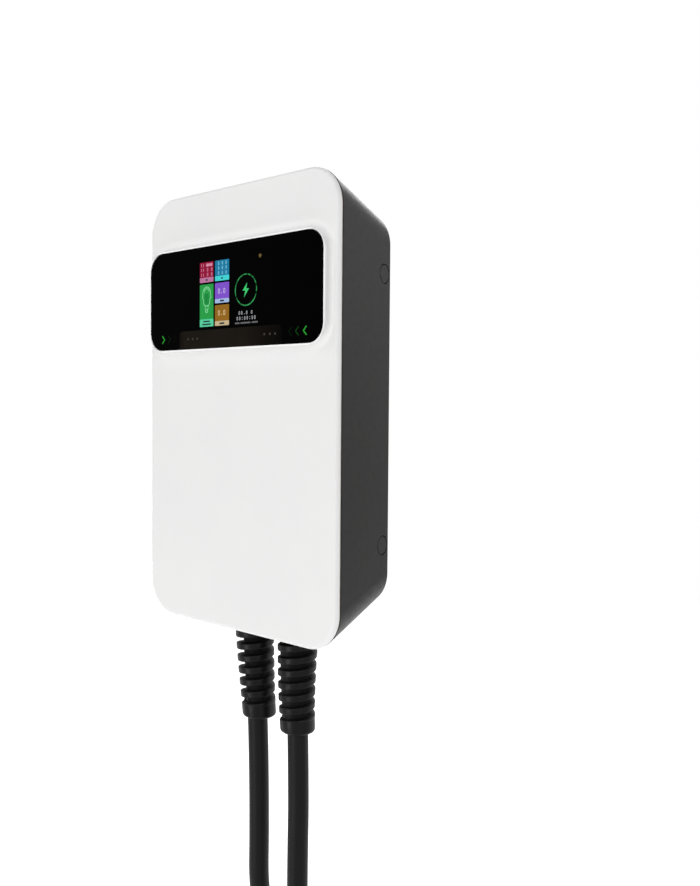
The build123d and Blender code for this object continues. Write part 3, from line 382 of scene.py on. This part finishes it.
print("materials")
shellWhite = whiteShell()
housingBlack = moulded(
    "black_shell", tint(13, 13, 12), tint(17, 17, 16), 0.4, 1.1, 0.03, Specular_IOR_Level=sheens["housing"],
)
nylonBlack = slottedNylon()
jacketBlack = rubberJacket()
cadMaterials = {
    "front_seal": foam(),
    "rear_housing": housingBlack, "side_plugs": housingBlack,
    "wall_plate": powderCoat("plate_paint", tint(19, 19, 19), tint(38, 38, 39)),
    "circuit_board": circuit("circuit_board", tint(18, 92, 52), tint(38, 122, 72)),
    "black_board": circuit("black_board", tint(20, 20, 21), tint(38, 38, 40)),
    "relay": moulded("relay_case", tint(26, 26, 28), tint(36, 36, 38), 0.35),
    "sensor": moulded("sensor_case", tint(24, 48, 110), tint(30, 58, 128), 0.4),
    "copper": metal("copper", tint(214, 142, 104), 0.3),
    "potted": moulded("grey_case", tint(120, 122, 124), tint(134, 136, 138), 0.5),
    "can": metal("can_aluminium", tint(208, 208, 210), 0.28),
    "terminal": moulded("terminal_grey", tint(118, 122, 126), tint(130, 134, 138), 0.45),
    "ceramic": moulded("ceramic", tint(222, 219, 212), tint(232, 230, 224), 0.3),
    "lamp": lamp("lamp", tint(60, 220, 70), 0.6),
    "ribbon": ribbonCable(),
    "band": wovenBand(),
    "steel": metal("steel", tint(196, 196, 198), 0.3),
    "screen": moulded("screen", tint(34, 40, 44), tint(44, 50, 54), 0.2),
    "cores": coreColours(),
    "inner_cores": moulded("inner_core_brown", tint(84, 50, 30), tint(104, 64, 38), 0.45),
}
cadUses = {
    "front_seal": "front_seal", "rear_housing": "rear_housing", "side_plugs": "side_plugs",
    "wall_plate": "wall_plate", "main_board": "circuit_board", "processor_card": "circuit_board",
    "display_board": "black_board", "power_relays": "relay", "fault_sensor": "sensor",
    "current_bars": "copper", "power_module": "potted", "capacitors": "can", "radio_module": "can",
    "fuses": "ceramic", "buzzer": "relay", "light_shrouds": "relay", "light_sensor": "relay",
    "indicator_leds": "lamp", "display_ribbon": "ribbon", "lcd_module": "screen",
    "cover_screws": "steel", "side_screws": "steel", "board_screws": "steel", "display_screws": "steel",
    "supply_ferrules": "steel", "plug_contacts": "steel", "supply_cores": "cores", "coil_ties": "band",
}
for line in ("supply", "output"):
    cadUses.update({
        line + "_terminal_block": "terminal", line + "_terminal_screws": "steel", line + "_inner_cores": "inner_cores",
        line + "_gland_washer": "front_seal", line + "_gland_seal": "front_seal",
    })


def dress(node, material):
    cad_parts[node].data.materials.clear()
    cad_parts[node].data.materials.append(material)


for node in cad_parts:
    dress(node, cadMaterials[cadUses[node]] if node in cadUses else nylonBlack)
for line in ("supply", "output"):
    dress(line + "_cable_entry", jacketBlack)


# meshes
def link(name, mesh, material, smooth=True):
    for polygon in mesh.polygons:
        polygon.use_smooth = smooth
    made = bpy.data.objects.new(name, mesh)
    made.data.materials.append(material)
    bpy.context.collection.objects.link(made)
    return made


def skin(name, rings, material, capped=True):
    # the first ring is drawn out step by step and laid on each next one, in millimetres
    mesh = bpy.data.meshes.new(name)
    form = bmesh.new()
    loop = [form.verts.new(Vector(p) * mm) for p in rings[0]]
    edges = [form.edges.new(pair) for pair in zip(loop, loop[1:] + loop[:1])]
    if capped:
        bmesh.ops.contextual_create(form, geom=edges)
    for ring in rings[1:]:
        drawn = bmesh.ops.extrude_edge_only(form, edges=edges)["geom"]
        fresh = {part for part in drawn if isinstance(part, bmesh.types.BMVert)}
        loop = [next(e.other_vert(v) for e in v.link_edges if e.other_vert(v) in fresh) for v in loop]
        for vertex, point in zip(loop, ring):
            vertex.co = Vector(point) * mm
        edges = [form.edges.get(pair) for pair in zip(loop, loop[1:] + loop[:1])]
    if capped:
        bmesh.ops.contextual_create(form, geom=edges)
    bmesh.ops.recalc_face_normals(form, faces=form.faces)
    form.to_mesh(mesh)
    form.free()
    return link(name, mesh, material)


def roundRect(width, height, corner, y, z, bends=12, runs=6):
    # a rounded outline across the box, clockwise from its top right corner
    points = []
    centres = ((1, 1, 90), (1, -1, 0), (-1, -1, -90), (-1, 1, -180))
    for index, (sx, sz, start) in enumerate(centres):
        cx = sx * (width / 2 - corner)
        cz = z + sz * (height / 2 - corner)
        for i in range(bends + 1):
            angle = math.radians(start - 90 * i / bends)
            points.append((cx + corner * math.cos(angle), y, cz + corner * math.sin(angle)))
        nextX, nextZ, _ = centres[(index + 1) % 4]
        last = points[-1]
        angle = math.radians(start - 90)
        first = (
            nextX * (width / 2 - corner) + corner * math.cos(angle), y,
            z + nextZ * (height / 2 - corner) + corner * math.sin(angle),
        )
        for i in range(1, runs):
            points.append(tuple(a + (b - a) * i / runs for a, b in zip(last, first)))
    return points


def ridden(piece, *nodes, slot):
    if nodes:
        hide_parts(*nodes)
    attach(piece, "root")


# cords
def cordCurve(name, points, material):
    curve = bpy.data.curves.new(name, "CURVE")
    curve.dimensions = "3D"
    spline = curve.splines.new("NURBS")
    spline.points.add(len(points) - 1)
    for knot, point in zip(spline.points, points):
        knot.co = (*(Vector(point) * mm), 1.0)
    spline.order_u = 3
    spline.use_endpoint_u = True
    curve.resolution_u = 8
    curve.bevel_depth = cable["radius"] * mm
    curve.bevel_resolution = 10
    curve.use_fill_caps = True
    curve.materials.append(material)
    made = bpy.data.objects.new(name, curve)
    bpy.context.collection.objects.link(made)
    return made


coil = {
    "outer": 132.0, "inner": 72.5, "start": 69.6, "turns": 3.5, "steps": 20, "cross": 4,
    "lead": 100.0, "leadSteps": 4, "angle": 62.0, "tail": 92.0, "tailKnee": 0.45,
}


def outputPoints():
    # out of the gland, down the lead, in and out again in two layers and down to the plug
    points = list(routes["output"])
    angle, layer = math.radians(coil["angle"]), 2 * cable["radius"]
    ex, ey, ez = points[-1]
    for i in range(1, coil["leadSteps"]):
        turn = angle * i / coil["leadSteps"]
        points.append((ex + coil["lead"] * (1 - math.cos(turn)), ey, ez - coil["lead"] * math.sin(turn)))
    cx = ex + coil["lead"] * (1 - math.cos(angle)) - coil["outer"] * math.cos(angle)
    cz = ez - (coil["outer"] + coil["lead"]) * math.sin(angle)
    widen = 1 / math.cos(math.pi / coil["steps"])

    def wound(radius, turn, y):
        points.append((cx + radius * widen * math.cos(turn), y, cz + radius * widen * math.sin(turn)))

    inward = int(coil["turns"] * coil["steps"])
    for i in range(inward + 1):
        radius = coil["outer"] + (coil["inner"] - coil["outer"]) * i / inward
        wound(radius, angle - math.tau * i / coil["steps"], ey)
    outward = coil["turns"] + coil["angle"] / 360
    count = round(outward * coil["steps"])
    start = angle - math.tau * coil["turns"]
    for i in range(1, count + 1):
        share = i / count
        radius = coil["start"] + (coil["outer"] - coil["start"]) * share
        step = min(1.0, i / coil["cross"])
        wound(radius, start - math.tau * outward * share, ey - layer * step * step * (3 - 2 * step))
    ox, oy = cx + coil["outer"], ey - layer
    points[-1] = (ox, oy, cz)
    points.append((ox, oy, cz - coil["tail"] * coil["tailKnee"]))
    points.append((ox, oy, cz - coil["tail"]))
    return points


print("cords")
supplyCord = cordCurve("supply_cord", routes["supply"], jacketBlack)
outputCord = cordCurve("output_cord", outputPoints(), jacketBlack)
ridden(supplyCord, "supply_cable", slot="cable_jacket")
ridden(outputCord, "output_cable", "output_coil", slot="cable_jacket")


# white cover: from its hidden edge over the rounded rim to the face, and up the sweep to the window
cover = {
    "corner": 29.5, "inner": -73.1, "back": -71.7, "lip": 2.8, "face": -75.9, "faceRound": 3.6, "faceRing": 0.4,
    "backEdge": ((0.5, 0.0), (0.25, 0.07), (0.07, 0.25), (0.0, 0.5), (0.0, 0.7)), "rim": 1.4, "rimRound": 0.6,
    "sweepSide": 3.0, "sweepEnd": 8.2, "sweepCorner": 8.0, "foot": 1.06, "gap": 0.12, "chamfer": 0.2,
}


def coverPiece():
    width, height, corner, z = box["width"], box["height"], cover["corner"], box["rise"]
    side, end, rim = cover["sweepSide"], cover["sweepEnd"], cover["rim"]
    back, face, turn, top = cover["back"], cover["face"], cover["faceRound"], cover["rimRound"]

    def outer(inset, y):
        return roundRect(width - 2 * inset, height - 2 * inset, corner - inset, y, z)

    def block(across, along, y):
        # the raised block's outline, so far outside its rim
        w = window["width"] + 2 * rim + 2 * across
        h = window["height"] + 2 * rim + 2 * along
        c = window["corner"] + rim + cover["sweepCorner"] * (across / side)
        return roundRect(w, h, c, y, window["z"])

    rings = [outer(cover["lip"], cover["inner"]), outer(cover["lip"], back)]
    for inset, depth in cover["backEdge"]:
        rings.append(outer(inset, back - depth))
    for i in range(13):
        angle = math.radians(90 * i / 12)
        rings.append(outer(turn * (1 - math.cos(angle)), face + turn * (1 - math.sin(angle))))
    rings.append(outer(turn + cover["faceRing"], face))
    rise = face - window["front"]
    rings.append(block(side * cover["foot"], end * cover["foot"], face))
    for i in range(17):
        angle = math.radians(90 * i / 16)
        share = 1 - math.sin(angle)
        rings.append(block(side * share, end * share, face - (rise - top) * (1 - math.cos(angle))))
    for i in range(1, 6):
        angle = math.radians(90 * i / 5)
        inset = -top * (1 - math.cos(angle))
        rings.append(block(inset, inset, window["front"] + top * (1 - math.sin(angle))))
    inset, chamfer = cover["gap"] - rim, cover["chamfer"]
    for extra, y in ((chamfer, window["front"]), (0.0, window["front"] + chamfer), (0.0, window["back"])):
        rings.append(block(inset + extra, inset + extra, y))
    return skin("white_cover", rings, shellWhite)


def windowPiece():
    edge, front = window["edge"], window["front"] + window["sunk"]

    def outline(inset, y):
        w, h = window["width"] - 2 * inset, window["height"] - 2 * inset
        return roundRect(w, h, window["corner"] - inset, y, window["z"])

    rings = [outline(0.0, window["back"])]
    for i in range(7):
        angle = math.radians(90 * i / 6)
        rings.append(outline(edge * (1 - math.cos(angle)), front + edge * (1 - math.sin(angle))))
    rings.append(outline(edge + window["edgeRing"], front))
    return skin("window_glass", rings, windowBlack())


print("cover")
ridden(coverPiece(), "front_cover", slot="white_shell")
ridden(windowPiece(), "display_window", slot="black_window")


# display graphics, drawn on the window: x and height above the box's middle, and how far they stand off it
lifts = {"haze": 0.01, "field": 0.03, "roof": 0.035, "ink": 0.04}


def flat(name, outlines, material, lift="field"):
    mesh = bpy.data.meshes.new(name)
    form = bmesh.new()
    y = window["front"] + window["sunk"] - lifts[lift]
    for outline in outlines:
        form.faces.new([form.verts.new(Vector((x, y, z + box["rise"])) * mm) for x, z in outline])
    form.to_mesh(mesh)
    form.free()
    ridden(link(name, mesh, material, smooth=False), slot="screen")


def arc(cx, cz, rx, rz, start, end, steps=14):
    turns = [math.radians(start + (end - start) * i / steps) for i in range(steps + 1)]
    return [(cx + rx * math.cos(t), cz + rz * math.sin(t)) for t in turns]


def tile(low, high, corner=0.6, steps=4):
    # a rounded field from its lowest to its highest corner
    (left, bottom), (right, top) = low, high
    left, bottom, right, top = left + corner, bottom + corner, right - corner, top - corner
    points = []
    for cx, cz, start in ((right, top, 0), (left, top, 90), (left, bottom, 180), (right, bottom, 270)):
        points += arc(cx, cz, corner, corner, start, start + 90, steps)
    return points


def disc(cx, cz, radius, steps=24):
    return arc(cx, cz, radius, radius, 0, 360, steps)[:-1]


def stroke(points, width, closed=False):
    # one quad for each run of a drawn line
    quads, overlap = [], 0.25
    ends = points[1:] + points[:1] if closed else points[1:]
    for (ax, az), (bx, bz) in zip(points, ends):
        long = math.hypot(bx - ax, bz - az)
        nx, nz = -(bz - az) / long * width / 2, (bx - ax) / long * width / 2
        ex, ez = (bx - ax) / long * width * overlap, (bz - az) / long * width * overlap
        quads.append([(ax - ex + nx, az - ez + nz), (ax - ex - nx, az - ez - nz),
                      (bx + ex - nx, bz + ez - nz), (bx + ex + nx, bz + ez + nz)])
    return quads


figure = {"half": 0.22, "bend": 0.7, "dot": 0.7, "upperDot": 0.35, "dotCorner": 0.1}


def figures(body, x, z, height, pitch, width):
    # a row of plain noughts with their points, in thin strokes
    made = []
    left = x - pitch * (len(body) - 1) / 2
    dot, corner = width * figure["dot"], figure["dotCorner"]
    for index, mark in enumerate(body):
        cx, w, h = left + index * pitch, height * figure["half"], height / 2
        if mark == "0":
            bend = w * figure["bend"]
            made += stroke([
                (cx - w, z - h + bend), (cx - w, z + h - bend), (cx - w + bend, z + h), (cx + w - bend, z + h),
                (cx + w, z + h - bend), (cx + w, z - h + bend), (cx + w - bend, z - h), (cx - w + bend, z - h),
            ], width, True)
        if mark in ".:":
            made.append(tile((cx - dot, z - h), (cx + dot, z - h + 2 * dot), corner, 2))
        if mark == ":":
            low = z + h * figure["upperDot"]
            made.append(tile((cx - dot, low), (cx + dot, low + 2 * dot), corner, 2))
    return made


# the lit fields with their colours, then the marks that are drawn on and round them
fields = {
    "tile_red": (tint(150, 25, 60), [tile((-34.6, 104.3), (-18.1, 116.4))]),
    "foot_red": (tint(190, 120, 160), [tile((-34.6, 100.4), (-18.1, 104.3))]),
    "tile_blue": (tint(35, 125, 165), [tile((-16.3, 104.3), (0.3, 116.4))]),
    "foot_blue": (tint(70, 215, 215), [tile((-16.3, 100.4), (0.3, 104.3))]),
    "tile_green": (tint(45, 160, 75), [tile((-34.6, 71.4), (-18.1, 98.9))]),
    "foot_green": (tint(90, 210, 160), [tile((-34.6, 65.4), (-18.1, 71.4))]),
    "tile_purple": (tint(130, 85, 205), [tile((-16.3, 86.4), (0.3, 98.9))]),
    "foot_purple": (tint(165, 190, 230), [tile((-16.3, 83.1), (0.3, 86.4))]),
    "tile_ochre": (tint(150, 105, 35), [tile((-16.3, 69.1), (0.3, 81.6))]),
    "foot_ochre": (tint(200, 180, 140), [tile((-16.3, 65.4), (0.3, 69.1))]),
}
rows = (114.1, 110.4, 106.5)
bars = {
    "columns": [((x, z - 1.2), (x + 0.6, z + 1.2)) for z in rows for x in (-32.9, -30.5)],
    "small": [((7.2, 65.5), (12.4, 66.7)), ((13.4, 65.5), (24.6, 66.7)), ((26.0, 65.5), (32.6, 66.7))],
    "feet": [
        ((-27.4, 101.7), (-25.2, 103.0)), ((-9.0, 101.7), (-7.0, 103.0)), ((-10.4, 84.1), (-5.6, 85.4)),
        ((-10.8, 66.5), (-5.2, 67.8)), ((-30.4, 69.0), (-22.4, 70.1)), ((-31.6, 66.7), (-21.2, 67.8)),
    ],
}
arrow = {
    "height": 57.2, "reach": 3.0, "tip": 1.4, "tail": 1.5, "colour": (44, 156, 50), "leftShare": 0.5,
    "places": ((81.4, 1.1, 1.0), (73.5, 0.9, 0.4), (66.6, 0.8, 0.16)),
}
ring = {"middle": (19.3, 91.1), "outer": 12.3, "inner": 11.4, "runs": 72}
sensorDot = (34.9, 115.3, 1.5)
lampMark = {"radius": 0.9, "height": 56.4, "places": (-49.3, -43.6, -37.9, 39.7, 45.7, 51.1)}

print("display")
for name, (colour, outlines) in fields.items():
    flat(name, outlines, printed(name, colour))
smoke = [
    (-60.7, 48.4), (57.9, 48.4), (57.9, 59.9), (57.0, 62.0), (54.9, 62.9), (-57.7, 62.9), (-59.8, 62.0), (-60.7, 59.9),
]
flat("smoke_band", [smoke], smokeLight(), "haze")
lampMarks = [disc(x, lampMark["height"], lampMark["radius"]) for x in lampMark["places"]]
flat("marks", lampMarks, printed("mark", tint(70, 66, 60)))
flat("sensor_dot", [disc(*sensorDot)], printed("sensor_dot", tint(126, 108, 64), tint(70, 58, 36), 0.9))
for side, word in ((-1, "left"), (1, "right")):
    for index, (x, width, shade) in enumerate(arrow["places"]):
        tail, tip, z = side * (x + arrow["tail"]), side * (x - arrow["tip"]), arrow["height"]
        bend = [(tail, z + arrow["reach"]), (tip, z), (tail, z - arrow["reach"])]
        if side < 0 and index:
            shade *= arrow["leftShare"]
        colour = tint(*(v * shade for v in arrow["colour"]))
        flat(f"arrow_{word}_{index}", stroke(bend, width), printed(f"arrow_{word}_{index}", colour))

ringX, ringZ = ring["middle"]
inner = arc(ringX, ringZ, ring["inner"], ring["inner"], 0, 360, ring["runs"])
outer = arc(ringX, ringZ, ring["outer"], ring["outer"], 0, 360, ring["runs"])
ringQuads = [[outer[i], outer[i + 1], inner[i + 1], inner[i]] for i in range(ring["runs"])]
flat("charge_ring", ringQuads, printed("charge_ring", tint(66, 190, 106), tint(2, 22, 12), 0.42))
bolt = [(20.9, 96.6), (15.6, 90.6), (18.7, 90.6), (17.4, 85.4), (22.9, 92.0), (19.7, 92.0)]
flat("charge_bolt", [bolt], printed("charge_bolt", tint(66, 206, 116)))

white = printed("figure_white", tint(176, 180, 184))
rosy = printed("figure_rosy", tint(214, 140, 166))
icy = printed("figure_icy", tint(130, 206, 228))
inked = printed("figure_dark", tint(38, 48, 62))
red = [quad for z in rows for quad in figures("0 0", -22.7, z, 2.3, 2.5, 0.45)]
red += [tile(low, high, 0.1, 2) for low, high in bars["columns"]] + [tile((-27.0, 113.0), (-19.6, 115.1), 0.2)]
flat("red_rows", red, rosy, "ink")
flat("blue_rows", [quad for z in rows for quad in figures("000", -7.6, z, 2.2, 4.4, 0.45)], icy, "ink")
flat("purple_row", figures("0.0", -8.4, 92.4, 3.6, 3.1, 0.55), printed("figure_lilac", tint(204, 194, 232)), "ink")
flat("ochre_row", figures("0.0", -8.4, 75.4, 3.6, 3.1, 0.55), printed("figure_warm", tint(226, 200, 150)), "ink")
flat("warmth_row", figures("00.0 0", 19.0, 73.8, 2.3, 2.75, 0.42), white, "ink")
flat("clock_row", figures("00:00:00", 19.6, 69.7, 2.3, 2.8, 0.42), white, "ink")
flat("small_bars", [tile(low, high, 0.3) for low, high in bars["small"]], printed("small_bars", tint(104, 106, 108)))
flat("foot_marks", [tile(low, high, 0.3) for low, high in bars["feet"]], inked, "ink")
pale = printed("car_line", tint(150, 232, 172))
middle = -26.3
car = stroke(arc(middle, 91.4, 4.7, 5.4, -14, 194, 22), 0.6)
car += stroke(arc(middle, 92.2, 3.2, 3.2, 15, 165, 12), 0.5)
for way in (-1, 1):
    half = ((4.6, 90.2), (5.3, 88.6), (3.9, 86.8), (3.6, 83.6), (2.4, 82.0), (0.0, 81.8))
    car += stroke([(middle + way * x, z) for x, z in half], 0.55)
    car += stroke([(middle + way * 1.5, 81.8), (middle + way * 1.9, 79.2)], 0.5)
car += stroke(arc(middle, 77.9, 1.3, 1.3, 0, 360, 12), 0.6)
flat("car_figure", car, pale, "ink")
flat("car_roof", [tile((-28.7, 83.4), (-23.9, 91.4), 0.9)], printed("car_roof", tint(34, 138, 64)), "roof")


# the gland's cap and its tail with one rounded screw-shaped slot, which leans and bows as the cable pulls it
relief = {
    "x": 25.7, "y": -29.3, "top": -134.1, "low": -226.1, "hole": 12.0, "around": 112, "steps": 350,
    "cap": 16.75, "capHeight": 11.0, "capRound": 1.5, "capFoot": 0.6, "capGap": 0.4,
    "topRadius": 16.6, "endRadius": 14.6, "core": 9.8, "coreRound": 0.5, "coreReach": 0.7,
    "pitch": 10.2, "slot": 4.6, "slotEdge": 1.0, "slotTop": 4.4, "slotEnd": 205,
    "webTurn": 223, "webTop": 1.1, "webFade": 0.6, "shapedLow": 8.0,
    "collarHeight": 17.0, "collarRound": 2.5, "collarInset": 0.35, "stepHeight": 12.0, "stepRun": 0.3, "step": 0.25,
    "mouth": ((0.0, 9.2, 1.0), (0.5, 8.8, 1.0), (6.0, 8.7, 0.8)), "blend": 24.0, "cableGap": 0.03, "cableOut": 0.5,
    "cableTop": [25.0, 41.3],
}
tails = {
    "supply": {"side": -1, "phase": -72.7, "lowest": -1, "shorter": 1.9, "lean": (3.6, 2.9), "bow": (0.0, 0.0),
               "web": 0.0},
    "output": {"side": 1, "phase": -64.7, "lowest": -2, "shorter": 0.6, "lean": (-0.4, 0.5), "bow": (-0.7, -0.6),
               "web": 4.4},
}


def bendRelief(line):
    tail = tails[line]
    x, y, top = tail["side"] * relief["x"], relief["y"], relief["top"]
    length = relief["top"] - relief["low"] - tail["shorter"]
    turns = [math.tau * i / relief["around"] for i in range(relief["around"])]
    lean, bow, phase, pitch = tail["lean"], tail["bow"], tail["phase"], relief["pitch"]
    cordX, cordY, _ = routes[line][0]

    def place(z, radius, turn, pull=0.0):
        # a point of the leaning relief, or of the hole that goes over to the cable's own middle
        share = min(1.0, max(0.0, -z) / length)
        swing, sag = share ** 1.5, math.sin(math.pi * share ** 1.4)
        cx, cy = (at + lean[i] * swing + bow[i] * sag for i, at in enumerate((x, y)))
        cx, cy = cx + (cordX - cx) * pull, cy + (cordY - cy) * pull
        return (cx + radius * math.cos(turn), cy + radius * math.sin(turn), top + z)

    def ringAt(z, radius):
        return [place(z, radius, turn) for turn in turns]

    cap, capLow, capRound, capFoot = relief["cap"], -relief["capHeight"], relief["capRound"], relief["capFoot"]
    rings = [ringAt(0, relief["hole"])]
    for angle in (math.radians(15 * i) for i in range(7)):
        rings.append(ringAt(-capRound * (1 - math.cos(angle)), cap - capRound * (1 - math.sin(angle))))
    for angle in (math.radians(22.5 * i) for i in range(5)):
        rings.append(ringAt(capLow + capFoot * (1 - math.sin(angle)), cap - capFoot * (1 - math.cos(angle))))
    rings.append(ringAt(capLow, relief["topRadius"]))

    # down the slotted tail: how deep each point lies under the plain cone
    start, end = capLow - relief["capGap"], relief["shapedLow"] - length
    collarTop, stepLow = relief["collarHeight"] - length, relief["stepHeight"] - length
    first, last = tail["lowest"] + relief["slotEnd"] / 360, (capLow - relief["slotTop"] - phase) / pitch
    edge, cone = relief["slotEdge"], relief["endRadius"] - relief["topRadius"]
    for k in range(relief["steps"] + 1):
        z = start + (end - start) * k / relief["steps"]
        share = min(1.0, (z - capLow) / (collarTop - capLow))
        step = max(0.0, min(1.0, (stepLow - z) / relief["stepRun"]))
        radius = relief["topRadius"] + cone * share - relief["step"] * step
        ring = []
        for turn in turns:
            facing = max(0.0, math.cos(turn - math.radians(relief["webTurn"]))) ** 2
            web = tail["web"] * facing * (relief["webTop"] - relief["webFade"] * share)
            lap = round((z - phase) / pitch - turn / math.tau)
            along = min(max(lap + turn / math.tau, first), last)
            sideways = (lap + turn / math.tau - along) * math.tau * radius
            away = math.hypot(z - phase - pitch * along, sideways) - relief["slot"] / 2
            if away < 0:
                rounded = relief["coreRound"] * max(0.0, 1 + away / relief["coreReach"]) ** 2
                cut = radius - relief["core"] - web - rounded
            elif away < edge:
                cut = edge * (1 - math.sqrt(max(0.0, 1 - (1 - away / edge) ** 2)))
            else:
                cut = 0.0
            ring.append(place(z, radius - cut, turn))
        rings.append(ring)

    # the plain collar and the hole that the cable leaves by
    collar, collarRound = relief["endRadius"] - relief["collarInset"], relief["collarRound"]
    for angle in (math.radians(10 * i) for i in range(10)):
        up = collarRound * (1 - math.sin(angle))
        rings.append(ringAt(-length + up, collar - collarRound * (1 - math.cos(angle))))
    for up, radius, pull in relief["mouth"]:
        rings.append([place(up - length, radius, turn, pull) for turn in turns])
    piece = skin(line + "_relief_tail", rings, nylonBlack, capped=False)
    ridden(piece, line + "_bend_relief", slot="nylon")

    # the cable inside, which joins the free cable below the collar
    inside, below, blend = [], relief["low"] - relief["top"] - relief["cableOut"], relief["blend"]
    for z in [below] + list(range(math.ceil(below), 1, 6)) + relief["cableTop"]:
        pull = min(1.0, max(0.0, (blend - length - z) / blend))
        inside.append([place(z, cable["radius"] + relief["cableGap"], turn, pull) for turn in turns[::4]])
    ridden(skin(line + "_cable_inside", inside, jacketBlack), line + "_cable_entry", slot="cable_jacket")


print("reliefs")
for line in tails:
    bendRelief(line)


# stage, in metres
floorCorners = [(-4, -0.7, -0.94), (0.9, -0.7, -0.94), (0.9, 4, -0.94), (-4, 4, -0.94)]
middleOfBox = (0.0, -0.04, 0.0)
lamps = {
    "key": ((-2.3, -2.1, 1.9), middleOfBox, 1.4, 1.4, 35),
    "fill": ((0.9, -3.0, 0.5), middleOfBox, 1.8, 1.8, 33),
    "right": ((2.6, -1.2, 0.4), middleOfBox, 1.4, 1.8, 31),
    "side": ((2.0, 2.3, 0.95), middleOfBox, 1.2, 1.4, 28),
    "kick": ((2.0, 2.3, -0.9), middleOfBox, 1.2, 1.0, 5),
    "top": ((0.3, -0.3, 2.6), middleOfBox, 2.0, 2.0, 10),
    "low": ((-0.55, -2.8, -1.05), (0.0, -0.04, -0.15), 1.0, 0.9, 24),
    "back": ((-1.5, 2.4, 1.1), middleOfBox, 1.6, 1.2, 20),
}
worldStrength = {"seen": 1.0, "felt": 0.035}


def paleFloor():
    b = Board("pale_floor")
    base = b.mix(b.noise(0.002, 2.0), tint(246, 246, 246), tint(250, 250, 250))
    keys = {"Base Color": base, "Roughness": 0.8, "Emission Color": base, "Emission Strength": 1.0}
    top = b.node("BsdfPrincipled", keys)
    # seen from below it lets the view through
    under = b.node("NewGeometry", out="Backfacing")
    through = b.node("MixShader", {0: under, 1: top, 2: b.node("BsdfTransparent")})
    b.node("OutputMaterial", {"Surface": through})
    return b.material


def stageFloor():
    mesh = bpy.data.meshes.new("floor")
    form = bmesh.new()
    form.faces.new([form.verts.new(corner) for corner in floorCorners])
    form.to_mesh(mesh)
    form.free()
    link("floor", mesh, paleFloor(), smooth=False)


def light(name, place, target, width, height, power):
    data = bpy.data.lights.new(name, "AREA")
    data.shape = "RECTANGLE"
    data.size, data.size_y = width, height
    data.energy = power
    holder = bpy.data.objects.new(name, data)
    bpy.context.collection.objects.link(holder)
    holder.location = place
    holder.rotation_euler = (Vector(target) - Vector(place)).to_track_quat("-Z", "Y").to_euler()


def studio():
    # a white world for the eye, the gloss and the glass, and a dim one for the rest
    world = bpy.data.worlds.new("studio")
    bpy.context.scene.world = world
    world.use_nodes = True
    tree = world.node_tree
    tree.nodes.clear()
    shades = {}
    for name, strength in worldStrength.items():
        shades[name] = tree.nodes.new("ShaderNodeBackground")
        shades[name].inputs[0].default_value = grey(1.0)
        shades[name].inputs[1].default_value = strength
    path = tree.nodes.new("ShaderNodeLightPath")
    blend = tree.nodes.new("ShaderNodeMixShader")
    out = tree.nodes.new("ShaderNodeOutputWorld")
    share = path.outputs["Is Camera Ray"]
    for ray in ("Is Glossy Ray", "Is Transmission Ray"):
        either = tree.nodes.new("ShaderNodeMath")
        either.operation = "MAXIMUM"
        tree.links.new(share, either.inputs[0])
        tree.links.new(path.outputs[ray], either.inputs[1])
        share = either.outputs[0]
    for slot, output in enumerate((share, shades["felt"].outputs[0], shades["seen"].outputs[0])):
        tree.links.new(output, blend.inputs[slot])
    tree.links.new(blend.outputs[0], out.inputs[0])
    bpy.context.scene.view_settings.view_transform = "Standard"
    for name, settings in lamps.items():
        light(name, *settings)


print("studio")
stageFloor()
studio()
